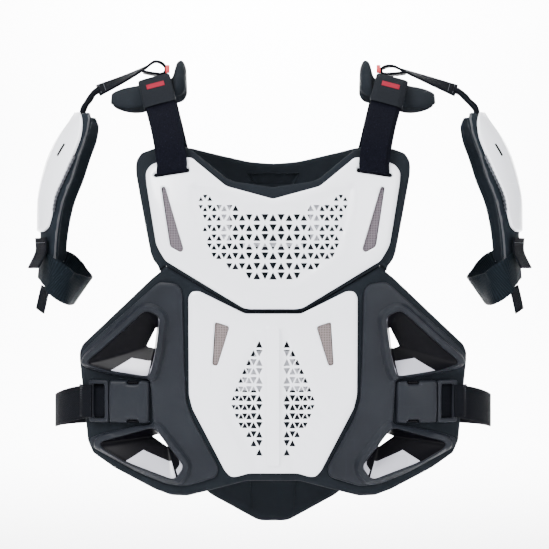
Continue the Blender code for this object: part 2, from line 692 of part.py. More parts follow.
def make_buckle(side):
    """Side-release buckle in the shell's bay: socket, strap frame, folded tab and side strap."""
    end, z = body_points([(BUCKLE_ACROSS, BUCKLE_DOWN)])[0]
    start = end - SOCKET_L
    half = BUCKLE_H / 2
    low, high = (start + share * SOCKET_L for share in NOTCH_SPAN)
    notch = half - PRONG_NOTCH
    socket = [
        (start, z - half), (low, z - half), (low, z - notch), (high, z - notch),
        (high, z - half), (end, z - half), (end, z + half), (high, z + half),
        (high, z + notch), (low, z + notch), (low, z + half), (start, z + half),
    ]
    lift = BODY_FOAM_T + GAP
    panel(f"buckle_socket_{side}", "front", lift, BUCKLE_T, DARK, sided(socket, side))
    inner, outer = end + GAP, end + GAP + FRAME_W
    frame = [(inner, z - half), (outer, z - half), (outer, z + half), (inner, z + half)]
    frame_lift = lift + WEBBING_T + 3 * GAP
    bar = sided(grown(frame, -FRAME_BAR), side)
    panel(f"buckle_frame_{side}", "front", frame_lift, FRAME_T, DARK, sided(frame, side), [bar])
    tab_lift = frame_lift + FRAME_T + GAP
    tab_in, tab_out = outer - FRAME_BAR, outer - FRAME_BAR + SIDE_TAB_W
    tall = SIDE_STRAP_W / 2
    tab = [(tab_in, z - tall), (tab_out, z - tall), (tab_out, z + tall), (tab_in, z + tall)]
    panel(f"side_tab_{side}", "front", tab_lift, WEBBING_T, WEBBING, sided(tab, side))
    back_lift = BACK_FOAM_T + BACK_PLATE_T + 3 * GAP + WEBBING_T / 2
    front_lift = lift + GAP + WEBBING_T / 2
    path = waist(side, inner + FRAME_BAR / 2, SIDE_STRAP_END, z, front_lift, back_lift, 26)
    ribbon(f"side_strap_{side}", path, (0, 0, 1), SIDE_STRAP_W, WEBBING_T, WEBBING)


def make_back():
    """Back panel: foam inside, a plain hard plate outside."""
    outline = mirrored(BACK_OUTLINE)
    panel("back_foam", "back", 0.0, BACK_FOAM_T, FOAM, outline, cell=BACK_CELL)
    lift = BACK_FOAM_T + GAP
    smaller = grown(outline, -BACK_BORDER)
    panel("back_plate", "back", lift, BACK_PLATE_T, DARK, smaller, cell=BACK_CELL)


def pad_top(x, y):
    """Height of the shoulder pad's top at a place; x is its distance from the middle."""
    share = (np.asarray(x, float) - PAD_INNER_X) / PAD_LENGTH
    rise, _, depth = np.moveaxis(smooth(PAD_ROWS, share), -1, 0)
    return rise * PAD_RISE - PAD_DROP * (np.asarray(y) / (PAD_HALF_DEPTH * depth)) ** 2 * depth


def crown():
    """Where the straps' middle line crosses the top of the shoulder, at +X."""
    z = float(pad_top(CROWN_X, 0.0)) + STRAP_GAP + WEBBING_T / 2
    return np.array([CROWN_X, 0.0, z])


def leaning(side, count, x, z, face):
    """Width directions along a strap: flat on the panel at its foot, then square to the front."""
    share = np.linspace(0, 1, count)
    angle = SLOT_LEAN + (CROWN_LEAN - SLOT_LEAN) * share
    slope = (torso_y(x + STRAP_W / 2, z, face) - torso_y(x - STRAP_W / 2, z, face)) / STRAP_W
    flat = slope * np.clip(1 - (share - 0.2) / 0.5, 0, 1)
    return np.stack([np.cos(angle) * SIDES[side], flat, -np.sin(angle)], -1)


def strap_path(side):
    """Middle line of a chest strap: out of its slot, up the plate and back to the crown."""
    z = CHEST_TOP - SLOT_DROP
    face = CHEST_FOAM_T + GAP + CHEST_RIM + PLATE_T
    over = face + STRAP_GAP + WEBBING_T / 2
    entry = ((0.0, CHEST_FOAM_T + 2 * GAP), (0.0006, face), (0.0032, over), (0.0100, over))
    points = [on_torso(SLOT_X, z + rise, "front", lift) for rise, lift in entry]
    foot, top = points[-1], crown() - [0, GAP, 0]
    rise = along([foot + (top - foot) * np.array(row) for row in STRAP_ROWS], 18)
    return np.concatenate([points, rise[1:]]) * [SIDES[side], 1, 1]


def make_shoulder(side):
    """Straps over one shoulder, their sleeve, the pad under them and the pull tab."""
    path = strap_path(side)
    lean = leaning(side, len(path), SLOT_X, CHEST_TOP - SLOT_DROP, "front")
    ribbon(f"chest_strap_{side}", path, lean, STRAP_W, WEBBING_T, WEBBING)
    top = crown() + [0, GAP, 0]
    lift = BACK_FOAM_T + BACK_PLATE_T + 2 * GAP + WEBBING_T / 2 + STRAP_GAP
    end = on_torso(BACK_STRAP_X, BACK_STRAP_Z, "back", lift)
    rear = [top + (end - top) * np.array(row) for row in BACK_STRAP_ROWS]
    rear = along(rear, 16) * [SIDES[side], 1, 1]
    lean_back = leaning(side, len(rear), BACK_STRAP_X, BACK_STRAP_Z, "back")[::-1]
    ribbon(f"back_strap_{side}", rear, lean_back, STRAP_W, WEBBING_T, WEBBING)
    first, last = (round(share * (len(path) - 1)) for share in SLEEVE_SPAN)
    part = path[first : last + 1]
    wide = across_of(part, lean[first : last + 1])
    deep = np.cross(directions(part), wide)
    tube = []
    for spare in (SLEEVE_GAP + SLEEVE_T, SLEEVE_GAP):
        w, t = STRAP_W / 2 + spare, WEBBING_T / 2 + spare
        corners = [(w, t), (-w, t), (-w, -t), (w, -t)]
        tube.append(np.stack([part + wide * a + deep * b for a, b in corners], 1))
    sleeve_loft(f"strap_sleeve_{side}", *tube)
    make_pad(side)
    y = HANGER_Y - HANGER_W / 2 - WEBBING_T
    ridge = float(np.interp(y, path[:, 1], path[:, 2]))
    low = ridge + (CROWN_X - PULL_TAB_X) * math.tan(CROWN_LEAN) + WEBBING_T / 2 + GAP
    centre = (SIDES[side] * PULL_TAB_X, y, low + PULL_TAB_H / 2)
    block(f"pull_tab_{side}", centre, (PULL_TAB_W, WEBBING_T, PULL_TAB_H), RED)


def sleeve_loft(name, outer, inner):
    """A tube with open ends: an outer and an inner skin joined round both ends."""
    rows, size = outer.shape[:2]
    points = np.concatenate([outer.reshape(-1, 3), inner.reshape(-1, 3)])
    shift, faces = rows * size, []
    for j in range(size):
        k = (j + 1) % size
        for i in range(rows - 1):
            a, b = i * size + j, i * size + k
            faces.append((a, b, b + size, a + size))
            faces.append((a + shift, a + size + shift, b + size + shift, b + shift))
        end = (rows - 1) * size
        faces.append((j, j + shift, k + shift, k))
        faces.append((end + j, end + k, end + k + shift, end + j + shift))
    piece = add_piece(name, points, faces, DARK)
    face_out(piece.data)


def make_pad(side):
    """The shoulder pad: an arch across the shoulder, lofted from its inner end outwards."""
    rings = []
    for share, _, wall, depth in PAD_ROWS:
        x = PAD_INNER_X + share * PAD_LENGTH
        half = PAD_HALF_DEPTH * depth
        y = half * np.linspace(-1, 1, 9)
        top = pad_top(x, y)
        thin = wall * np.sqrt(np.clip(1 - (y / half) ** 4, 0.12, 1))
        over = np.stack([np.full(9, x), y, top], -1)
        under = np.stack([np.full(9, x), y, top - thin], -1)[::-1]
        rings.append(np.concatenate([over, under]) * [SIDES[side], 1, 1])
    ring_loft(f"shoulder_pad_{side}", rings, FOAM)


def block(name, centre, size, material):
    """A box with its edges bevelled."""
    bpy.ops.mesh.primitive_cube_add(size=1.0)
    piece = bpy.context.object
    piece.name = piece.data.name = name
    for holder in list(piece.users_collection):
        holder.objects.unlink(piece)
    PIECES.objects.link(piece)
    for vertex in piece.data.vertices:
        vertex.co = Vector(centre) + Vector(v * s for v, s in zip(vertex.co, size))
    piece.data.materials.append(material)
    edge = piece.modifiers.new("Edges", "BEVEL")
    edge.width = min(size) / 4
    edge.segments = 1
    return piece


def arm_surface(side, share, angle):
    """Outside of the upper arm: an ellipse across, whose outermost line follows ARM_ROWS."""
    share, angle = np.broadcast_arrays(np.asarray(share, float), np.radians(angle))
    bulge = smooth([row[:2] for row in ARM_ROWS], share)[..., 0]
    outer = ARM_OUT[side] - ARM_BULGE * (1 - bulge)
    x = SIDES[side] * (outer - ARM_RX * (1 - np.cos(angle)))
    return np.stack([x, ARM_RY * np.sin(angle), ARM_TOP - share * ARM_H], -1)


def arm_points(side, share, angle, lift):
    """Points that stand lift outside the arm's surface; a negative angle is in front."""
    share, angle = np.broadcast_arrays(np.asarray(share, float), np.asarray(angle, float))
    step = 1e-3
    down = arm_surface(side, share + step, angle) - arm_surface(side, share - step, angle)
    turn = arm_surface(side, share, angle + 0.1) - arm_surface(side, share, angle - 0.1)
    normal = np.cross(turn, down) * -SIDES[side]
    normal /= np.linalg.norm(normal, axis=-1, keepdims=True)
    return arm_surface(side, share, angle) + normal * lift


def arm_sheet(name, side, column, last, lift, wall, material, outwards):
    """A curved slab on the arm, as wide at each height as its column of ARM_ROWS says."""
    rows, columns = 10, 7
    share = np.linspace(0, last, rows)[:, None]
    half = smooth([(row[0], row[column]) for row in ARM_ROWS], share[:, 0])
    angle = half * np.linspace(-1, 1, columns)
    points = arm_points(side, share, angle, lift)
    faces = grid_faces(rows, columns)
    if side == "left":
        faces = faces[:, ::-1]
    return add_piece(name, points.reshape(-1, 3), faces, material, wall, outwards)


def make_arm(side):
    """One arm guard: shell, padded backing, the loop round the arm and what it hangs from."""
    arm_sheet(f"arm_shell_{side}", side, 2, ARM_SHELL_END, ARM_GAP, ARM_SHELL_T, WHITE, 1.0)
    arm_sheet(f"arm_pad_{side}", side, 3, 1.0, 0.0, ARM_PAD_T, FOAM, -1.0)
    lift = BICEP_GAP + BICEP_T / 2
    front = [arm_points(side, down, -angle, lift) for angle, down in BICEP_FRONT]
    back = [arm_points(side, down, angle, lift) for angle, down in BICEP_BACK]
    free = [
        ((ARM_OUT[side] - BICEP_REACH * across) * SIDES[side], ARM_RY * deep, ARM_TOP - ARM_H * down)
        for across, deep, down in BICEP_FREE
    ]
    loop = along(front + free + back, 26)
    away = (loop - loop.mean(0)) * [1, 1, 0]
    away /= np.linalg.norm(away, axis=1, keepdims=True)
    flare = BICEP_FLARE * np.sin(np.linspace(0, math.pi, len(loop))) ** FLARE_POWER
    leaning_out = away * flare[:, None] + [0, 0, 1]
    ribbon(f"bicep_strap_{side}", loop, leaning_out, BICEP_W, BICEP_T, WEBBING)
    outer = BICEP_GAP + GAP / 2 + BICEP_T * 1.5
    hook = [arm_points(side, down, TAB_TURN, outer + rise) for down, rise in BICEP_TAB_ROWS]
    turn = math.radians(TAB_TURN)
    flat = (-SIDES[side] * ARM_RX * math.sin(turn), ARM_RY * math.cos(turn), 0)
    ribbon(f"bicep_tab_{side}", along(hook, 6), flat, BICEP_TAB_W, BICEP_T, WEBBING)
    up = across_of(loop, leaning_out)[TAIL_AT]
    low = loop[TAIL_AT] - up * (BICEP_W / 2 + TAIL_GAP)
    down = np.array([0, 0, -BICEP_TAIL_L])
    tail = [low - up * BICEP_TAIL_L * share + down * drop for share, drop in BICEP_TAIL_ROWS]
    wanted = directions(loop)[TAIL_AT]
    ribbon(f"bicep_tail_{side}", np.array(tail), wanted, BICEP_TAIL_W, BICEP_T, WEBBING)
    make_hanger(side)


def make_hanger(side):
    """The webbing loop over the pad, and the gathered link down to the arm guard."""
    top = crown()
    reach = HANGER_OUT[side] - HANGER_FROM
    rests_at = HANGER_FROM + HANGER_ROWS[6][0] * reach
    seat = top[2] + (CROWN_X - rests_at) * math.tan(CROWN_LEAN) + WEBBING_T + GAP / 2
    rise, drop = HANGER_PEAK[side] - seat, HANGER_END_Z - seat
    points = [
        (SIDES[side] * (HANGER_FROM + out * reach), HANGER_Y, seat + rise * up + drop * down)
        for out, up, down in HANGER_ROWS
    ]
    path = along(points, 24)
    tilt = HANGER_TILT * np.clip(1 - np.linspace(0, 1, len(path)) / TILT_SPAN, 0, 1)
    wanted = np.stack([0 * tilt, np.cos(tilt), np.sin(tilt)], -1)
    ribbon(f"arm_hanger_{side}", path, wanted, HANGER_W, WEBBING_T, WEBBING)
    end = arm_points(side, 0.0, 0.0, -ARM_PAD_T / 2) + [0, 0, LINK_GAP]
    out = (path[0] - path[1]) / np.linalg.norm(path[0] - path[1])
    start = path[0] + out * LINK_GAP
    middle = (start + end) / 2 + [SIDES[side] * LINK_BOW, 0, LINK_BOW]
    link = along([start, start + out * LINK_BOW, middle, end + [0, 0, LINK_BOW], end], 9)
    ribbon(f"arm_link_{side}", link, (0, 1, 0.3), LINK_W, LINK_T, WEBBING)


make_chest()
make_belly()
make_body_foam()
make_back()
for each_side in SIDES:
    make_side(each_side)
    make_buckle(each_side)
    make_shoulder(each_side)
    make_arm(each_side)
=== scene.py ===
"""Roost deflector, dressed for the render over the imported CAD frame.

Metres, +Z up. The wearer faces -Y and the wearer's left is +X. The origin is the middle of the
shoulder line, at the underside of the shoulder pads.
"""

import math

import bpy
import numpy as np
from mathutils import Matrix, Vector
from mathutils.geometry import delaunay_2d_cdt


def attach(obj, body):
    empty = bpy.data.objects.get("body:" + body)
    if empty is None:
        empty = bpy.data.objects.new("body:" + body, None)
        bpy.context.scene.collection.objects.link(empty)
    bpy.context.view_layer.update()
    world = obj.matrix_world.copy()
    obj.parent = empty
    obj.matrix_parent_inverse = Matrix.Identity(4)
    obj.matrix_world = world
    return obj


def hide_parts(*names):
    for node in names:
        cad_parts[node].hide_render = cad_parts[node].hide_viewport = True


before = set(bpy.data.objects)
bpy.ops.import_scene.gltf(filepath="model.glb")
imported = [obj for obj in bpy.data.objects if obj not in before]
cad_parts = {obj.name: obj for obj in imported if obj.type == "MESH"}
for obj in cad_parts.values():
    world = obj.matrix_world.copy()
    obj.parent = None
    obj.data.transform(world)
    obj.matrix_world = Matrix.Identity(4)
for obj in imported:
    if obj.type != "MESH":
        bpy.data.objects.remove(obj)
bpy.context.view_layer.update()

# Body that the panels follow
TORSO_HALF_W = 0.250
TORSO_DEPTH = 0.112
TORSO_H = 0.460
TORSO_POWER = 2.3
BACK_DEPTH = 0.098
TORSO_ROWS = (
    (-0.10, 0.50), (0.00, 0.60), (0.10, 0.73), (0.20, 0.86), (0.30, 0.95),
    (0.42, 1.00), (0.55, 0.985), (0.70, 0.93), (0.85, 0.89), (1.00, 0.87), (1.20, 0.86),
)

# Walls and gaps
GAP = 0.0006
CHEST_FOAM_T = 0.010
BODY_FOAM_T = 0.009
BACK_FOAM_T = 0.010
PLATE_T = 0.0026
SHELL_T = 0.0030
BACK_PLATE_T = 0.0025
WEBBING_T = 0.0022
FINE_CELL = 0.0060
COARSE_CELL = 0.0110

# Chest and belly plates, side shells and the foam under them
CHEST_SIZE = (0.1447, -0.0687, 0.1709)
BELLY_SIZE = (0.0952, -0.2193, 0.2134)
BODY_SIZE = (0.2230, -0.2000, 0.2560)
CHEST_RIM = 0.0018
CHEST_RIM_W = 0.006
BELLY_RIM = 0.0014
PANEL_DIP = 0.0024
DIP_SLOPE = 0.0030
SPINE_RISE = 0.0026
SPINE_HALF_W = 0.0068
SPINE_SLOPE = 0.0030
BAND_RISE = 0.0050
BAND_FLAT = 0.0062
BAND_W = 0.0096
DUCT_LIP = 0.0020
DUCT_T = 0.0016
DUCT_DROP = 0.0030
DUCT_ROOM = 0.0010
DUCT_GAP = 0.0002
DUCT_SINK = 0.0022
DUCT_BACK = 0.0004
DUCT_FALL = 0.85
BAND_EASE = 0.004
BAND_UNDERSIDE = 0.8
LEAST_PLATE = 0.0008
LEAST_SHELL = 0.0010
EDGE_STEP = 0.0010
WINDOW_CREASE = 0.0005
FOAM_SEAM = 0.0002
FOAM_UNDERSIDE = 0.6
FOAM_FILL = 0.9
MESH_T = 0.0010
MESH_PUFF = 0.0007
MESH_CREASE = 0.0016
PUFF_SLOPE = 0.004
RIB_T = 0.0016
RIB_DROP = 0.0012

# Edge radii, where the creases of a rounded edge run as shares of its radius, and loops' corners
EDGE_ROUND = 0.0014
EDGE_CREASES = (0.25, 1.0)
FOAM_ROUND = 0.0042
FOAM_CREASES = (0.15, 0.45, 1.0)
PLATE_CORNER = 0.0034
CHEST_DIP_CORNER = 0.0060
BELLY_DIP_CORNER = 0.0050
SLIT_CORNER = 0.0030
MESH_CORNER = 0.0026
FOAM_CORNER = 0.0028
CHEST_FIELD_CORNER = 0.0060
BELLY_FIELD_CORNER = 0.0040
SPINE_CORNER = 0.0030
SHELL_CORNER = 0.0060
WINDOW_CORNER = 0.0070
DUCT_CORNER = 0.0040
BACK_CORNER = 0.0080

CHEST_OUTLINE = (
    (0.000, 0.281), (0.366, 0.196), (0.600, 0.034), (0.632, 0.009), (0.668, 0.000),
    (0.902, 0.029), (0.962, 0.049), (1.000, 0.096), (0.994, 0.164), (0.909, 0.574),
    (0.882, 0.621), (0.835, 0.685), (0.230, 0.993), (0.183, 1.000), (0.000, 1.000),
)
CHEST_FOAM_UP = (
    (0.000, 0.193), (0.306, 0.155), (0.366, 0.135), (0.549, 0.006), (0.652, -0.065),
    (0.942, -0.077), (1.049, -0.045), (1.085, 0.002), (1.093, 0.042), (1.089, 0.103),
    (0.966, 0.624), (0.943, 0.675), (0.900, 0.722), (0.893, 0.755),
)
CHEST_FOAM_LOW = ((0.846, 0.711), (0.234, 1.016), (0.000, 1.016))
CHEST_SLIT = ((0.874, 0.200), (0.843, 0.197), (0.692, 0.611), (0.715, 0.631), (0.798, 0.592))
CHEST_FIELD = (
    (0.000, 0.285), (0.340, 0.225), (0.500, 0.195), (0.630, 0.180), (0.600, 0.420),
    (0.520, 0.660), (0.320, 0.770), (0.180, 0.850), (0.000, 0.850),
)
CHEST_DIP = (
    (0.000, 0.330), (0.210, 0.330), (0.300, 0.262), (0.480, 0.215), (0.640, 0.190),
    (0.600, 0.400), (0.520, 0.640), (0.310, 0.760), (0.160, 0.840), (0.000, 0.845),
)
BELLY_OUTLINE = (
    (0.000, 0.120), (0.333, 0.120), (0.876, 0.000), (0.960, 0.002), (1.000, 0.031),
    (1.000, 0.524), (0.998, 0.562), (0.960, 0.632), (0.574, 0.969), (0.507, 1.000),
    (0.435, 1.000), (0.291, 0.981), (0.000, 0.981),
)
BELLY_SLIT = ((0.686, 0.163), (0.514, 0.188), (0.659, 0.397), (0.720, 0.394))
BELLY_FIELD = (
    (0.090, 0.210), (0.200, 0.210), (0.530, 0.600), (0.530, 0.660), (0.220, 0.930), (0.090, 0.930),
)
VENT_RIBS = {
    "left": (0.0012, ((0.0400, -0.1140), (0.0545, -0.1140), (0.0510, -0.1660), (0.0430, -0.1660))),
    "right": (0.0012, ((-0.0630, -0.1140), (-0.0480, -0.1140), (-0.0490, -0.1640), (-0.0570, -0.1640))),
    "across": (0.0030, ((-0.0340, -0.1655), (0.0340, -0.1655), (0.0340, -0.1695), (-0.0340, -0.1695))),
}
BELLY_RIB = ((0.0115, -0.2875), (0.0190, -0.2875), (0.0400, -0.3330), (0.0115, -0.3330))
SPINE_SPAN = (0.195, 0.935)
BELLY_DIP = ((0.120, 0.205), (0.215, 0.240), (0.615, 0.640), (0.260, 0.945), (0.120, 0.955))
BODY_OUTLINE = (
    (0.590, 0.000), (0.617, 0.018), (0.983, 0.319), (1.000, 0.355), (1.000, 0.396),
    (0.988, 0.495), (0.967, 0.688), (0.959, 0.760), (0.931, 0.817), (0.819, 0.881),
    (0.607, 0.973), (0.525, 0.998), (0.442, 1.000), (0.327, 0.974), (0.139, 0.930), (0.000, 0.930),
)
SHELL_OUTLINE = (
    (0.556, 0.036), (0.489, 0.043), (0.458, 0.072), (0.450, 0.394), (0.442, 0.567),
    (0.409, 0.652), (0.278, 0.867), (0.286, 0.910), (0.442, 0.953), (0.540, 0.946),
    (0.689, 0.895), (0.926, 0.787), (0.941, 0.752), (0.877, 0.724), (0.689, 0.684),
    (0.607, 0.676), (0.622, 0.472), (0.828, 0.452), (0.970, 0.421), (0.981, 0.387),
    (0.968, 0.351), (0.893, 0.284), (0.581, 0.040),
)
UPPER_DUCT = (
    (0.638, 0.158, 0.610, 0.241), (0.565, 0.189, 0.603, 0.250), (0.590, 0.351, 0.615, 0.333),
    (0.614, 0.437, 0.623, 0.398), (0.633, 0.459, 0.632, 0.404), (0.820, 0.436, 0.679, 0.393),
    (0.926, 0.408, 0.691, 0.388), (0.928, 0.391, 0.692, 0.380),
)
LOWER_DUCT = (
    (0.600, 0.686, 0.590, 0.722), (0.446, 0.864, 0.504, 0.833), (0.498, 0.928, 0.503, 0.840),
    (0.733, 0.853, 0.598, 0.784), (0.867, 0.786, 0.656, 0.752), (0.869, 0.760, 0.660, 0.745),
)
DUCT_HOLE = {"upper": 0.58, "lower": 0.50}
# Where the ducts get a painted highlight: pale faces on the floor and along the inboard rim, standing in
# for the light that falls there
PALE_REACH = {"upper": 0.180, "lower": 0.165}
PALE_FLOOR = -0.75
PALE_INBOARD = -0.85
PALE_DEPTHS = (0.15, 0.50)
BACK_OUTLINE = (
    (0.000, -0.0635), (0.030, -0.0612), (0.075, -0.0510), (0.105, -0.0435), (0.122, -0.0440),
    (0.133, -0.0560), (0.135, -0.0900), (0.128, -0.2000), (0.118, -0.3500), (0.108, -0.4400),
    (0.081, -0.4747), (0.018, -0.5096), (0.000, -0.5096),
)
BACK_BORDER = 0.0090
BACK_RECESS = ((0.0, -0.0735), (0.0335, -0.0735), (0.0229, -0.0900), (0.0, -0.0900))
RECESS_SLOPE = 0.0020
RECESS_DEPTH = 0.0030
BACK_SEAM = ((0.0300, -0.0040), (-0.4300, -0.0660))
BACK_RIBS = ((-0.150, 0.085), (-0.205, 0.082), (-0.260, 0.079), (-0.315, 0.076), (-0.370, 0.072))
BACK_RIB_H = 0.034
BACK_RIB_SLOPE = 0.003
BACK_RIB_DEPTH = 0.0010

# Vents: columns from the middle outwards, the rows' first and last columns, sizes
CHEST_COLUMNS = (
    0.0, 0.063, 0.126, 0.186, 0.241, 0.293, 0.340, 0.382, 0.421, 0.459, 0.494, 0.530, 0.564,
)
CHEST_ROWS = (
    (0.273, 10, 12), (0.341, 5, 12), (0.404, 0, 11), (0.471, 0, 11), (0.533, 0, 10),
    (0.592, 0, 10), (0.653, 0, 9), (0.7206, 0, 6), (0.782, 0, 3),
)
CHEST_VENT = (0.0089, 0.0084)
BELLY_COLUMNS = (0.164, 0.232, 0.287, 0.337, 0.383, 0.430, 0.469)
BELLY_ROW_ENDS = (1, 2, 3, 4, 5, 6, 7, 7, 6, 5, 3, 2, 1)
BELLY_VENT = (0.0077, 0.0079)
BELLY_VENT_PITCH = 0.01040
FIRST_BELLY_ROW = 0.281
VENT_SHRINK = 0.033
BELLY_SHRINK = 1.6
VENT_GATHER = 0.0011
GATHER_FROM = 5
GATHER_OVER = 7
CORNER = 0.09

# Straps, shoulder pads and buckles
STRAP_W = 0.0360
STRAP_GAP = 0.0008
SLOT_X = 0.1142
SLOT_DROP = 0.0180
SLOT_SPARE = 0.0028
SLOT_LEAN = math.radians(8.0)
SLOT_CORNER = 0.0016
CROWN_X = 0.1435
CROWN_LEAN = math.radians(15.0)
SLEEVE_SPAN = (0.60, 0.88)
SLEEVE_SPARE = 0.0017
SLEEVE_FIT = 0.0009
SLEEVE_CROWN = 0.0004
SLEEVE_LIP = 0.0006
SLEEVE_T = 0.0040
LIP_SPAN = 0.06
BAR_W = 0.0215
BAR_T = 0.0007
PILE_RISE = 0.0006
BACK_PILE_RISE = 0.0004
STRAP_COUNT = 160
STITCH_L = 0.0020
STITCH_R = 0.00035
BACK_STITCH_AT = -8
BACK_STRAP_X = 0.1170
BACK_STRAP_Z = -0.0780
PAD_HALF_DEPTH = 0.038
PAD_DROP = 0.026
PAD_INNER_X = 0.105
PAD_LENGTH = 0.0895
PAD_RISE = 0.0575
PAD_SQUARENESS = 0.7
PAD_PINCH = 0.22
PAD_SEAM_AT = 0.72
PAD_SEAM_W = 0.0022
PAD_FILL = 0.85
BUCKLE_DOWN = 0.574
BUCKLE_H = 0.0490
BUCKLE_T = 0.0095
SOCKET_IN = 0.1400
SOCKET_OUT = 0.1835
SOCKET_CREASES = (0.0004, 0.0014, 0.0026)
SOCKET_CROWN = 0.0016
SOCKET_FALL = 0.0030
SOCKET_FALL_BY = 0.012
BUCKLE_CORNER = 0.0030
GROOVE_IN = 0.007
GROOVE_W = 0.0011
GROOVE_DEPTH = 0.0009
NOTCH_SPAN = (0.25, 0.55)
PRONG_NOTCH = 0.0040
PRONG_END = 0.001
PRONG_SPARE = 0.0006
PRONG_EDGE = 0.0002
PRONG_TIP = 0.0008
PRONG_CORNER = 0.0010
PRONG_ROUND = 0.0006
PRONG_RISE = 0.62
PRONG_LIFT = 0.001
FRAME_W = 0.0220
FRAME_BAR = 0.0045
FRAME_T = 0.0042
FRAME_CREASES = (0.0004, 0.0014)
BAR_CORNER = 0.0012
SIDE_STRAP_W = 0.0390
SIDE_TAB_W = 0.0150
TAB_COUNT = 24
TAB_SINK = 0.0005
TAB_FALL = 0.0030
TAB_NARROWER = 0.001
TAB_STITCHES = 13
TAB_STITCH_L = 0.0021
TAB_STITCH_ROWS = ((0.0095, 0.0014), (0.0120, 0.0022))
SIDE_STRAP_END = 0.0950
WAIST_FALL = 0.0180
WAIST_FALL_BY = 0.42
WAIST_TURNS = (0, 0.4, 0.7, 1)
PULL_TAB_X = 0.1270
PULL_LOOP = (0.0007, 0.0047)
PULL_LOOP_UP = 0.0050
PULL_TAPE = (0.0048, 0.0006)
STRAP_ROWS = (
    (0.00, 0.00, 0.00), (0.10, 0.04, 0.165), (0.31, 0.19, 0.41), (0.57, 0.39, 0.63),
    (0.78, 0.565, 0.82), (0.95, 0.77, 0.96), (1.00, 1.00, 1.00),
)
PAD_ROWS = (
    (0.00, 0.950, 0.027, 0.82), (0.09, 1.000, 0.033, 0.98), (0.13, 0.930, 0.028, 1.00),
    (0.175, 0.680, 0.012, 1.00), (0.24, 0.620, 0.010, 1.00), (0.43, 0.600, 0.009, 1.00),
    (0.64, 0.485, 0.010, 0.95), (0.84, 0.420, 0.009, 0.80), (1.00, 0.330, 0.006, 0.50),
)
BACK_STRAP_ROWS = (
    (0.00, 0.00, 0.000), (0.06, 0.22, 0.045), (0.22, 0.45, 0.170), (0.45, 0.70, 0.400),
    (0.70, 0.88, 0.650), (0.90, 0.97, 0.850), (1.00, 1.00, 1.000),
)

# Arm guards
ARM_TOP = -0.0075
ARM_H = 0.1800
ARM_OUT = {"left": 0.2960, "right": 0.2800}
ARM_BULGE = 0.0440
ARM_RX = 0.0550
ARM_RY = 0.0600
ARM_SHELL_T = 0.0026
ARM_PAD_T = 0.0075
ARM_GAP = 0.0022
ARM_SHELL_END = 0.79
SHELL_COLUMN = 2
PAD_COLUMN = 3
ARM_ROUND = 0.0035
LEAST_ARM = 0.0005
RIDGE_RISE = 0.0012
RIDGE_AT = 0.45
RIDGE_W = 0.10
PAD_FACE = 0.0009
PAD_RIPPLE = 0.0003
ARM_FILL = 0.8
PIPING_SINK = 0.0016
PIPING_R = 0.0017
ZIGZAG_R = 0.0013
SHELL_SLOT = (0.0034, 0.0008)
BICEP_GAP = 0.0008
BICEP_W = 0.0390
BICEP_T = 0.0024
BICEP_COUNT = 200
BICEP_REACH = 0.0540
BICEP_FLARE = 0.7
FLARE_POWER = 5
BICEP_TAB_W = 0.0340
BICEP_TAIL_W = 0.0180
BICEP_TAIL_L = 0.0300
TAIL_SHARE = 0.160
TAIL_GAP = 0.0009
HANGER_W = 0.0250
HANGER_FROM = 0.1295
HANGER_OUT = {"left": 0.2220, "right": 0.2125}
HANGER_PEAK = {"left": 0.0520, "right": 0.0575}
HANGER_END_Z = 0.0222
HANGER_Y = 0.0090
HANGER_TILT = math.radians(42.0)
TILT_SPAN = 0.7
HANGER_STITCHES = (4, 11)
LINK_W = 0.0140
LINK_HALF_T = 0.0036
LINK_IN = 0.004
LINK_COUNT = 80
LINK_GAP = 0.0010
LINK_BOW = 0.0030
HANGER_ROWS = (
    (1.00, 0.00, 1.00), (0.60, 0.15, 0.35), (0.30, 0.60, 0.05), (0.15, 1.00, 0.00),
    (0.04, 0.75, 0.00), (0.00, 0.30, 0.00), (0.04, 0.00, 0.00), (0.11, 0.00, 0.00),
    (0.20, 0.05, 0.00), (0.34, 0.20, 0.00),
)
ARM_ROWS = (
    (0.00, -0.06, 28.0, 44.0), (0.06, 0.12, 46.0, 55.0), (0.15, 0.40, 62.0, 67.0),
    (0.27, 0.665, 67.5, 72.0), (0.43, 0.875, 63.0, 72.0), (0.57, 0.985, 55.5, 66.0),
    (0.69, 1.00, 51.0, 60.0), (0.79, 1.00, 44.0, 56.0), (1.00, 0.99, 40.0, 51.0),
)
BICEP_FRONT = ((14.0, 0.995), (36.0, 1.035), (53.0, 1.085))
BICEP_BACK = ((53.0, 1.015), (36.0, 0.990), (14.0, 0.970))
BICEP_FREE = (
    (0.64, -0.76, 1.150), (0.83, -0.42, 1.178), (0.93, -0.04, 1.180),
    (0.87, 0.34, 1.150), (0.68, 0.72, 1.085),
)
BICEP_TAB_ROWS = ((0.83, 0.000), (0.92, 0.000), (0.98, 0.005), (1.03, 0.010))
TAB_TURN = -31.0
BICEP_TAIL_ROWS = ((0.0, 0.0), (0.35, 0.0), (0.65, 0.05), (0.9, 0.1))
SIDES = {"left": 1.0, "right": -1.0}


# Node tools

def add(tree, kind, links=None, **settings):
    """A node with its settings, and its inputs linked or set."""
    made = tree.nodes.new(kind)
    for key, value in settings.items():
        setattr(made, key, value)
    for socket, source in (links or {}).items():
        if isinstance(source, bpy.types.NodeSocket):
            tree.links.new(source, made.inputs[socket])
        else:
            made.inputs[socket].default_value = source
    return made


def maths(tree, operation, *values):
    """The result of one Math node."""
    return add(tree, "ShaderNodeMath", dict(enumerate(values)), operation=operation).outputs[0]


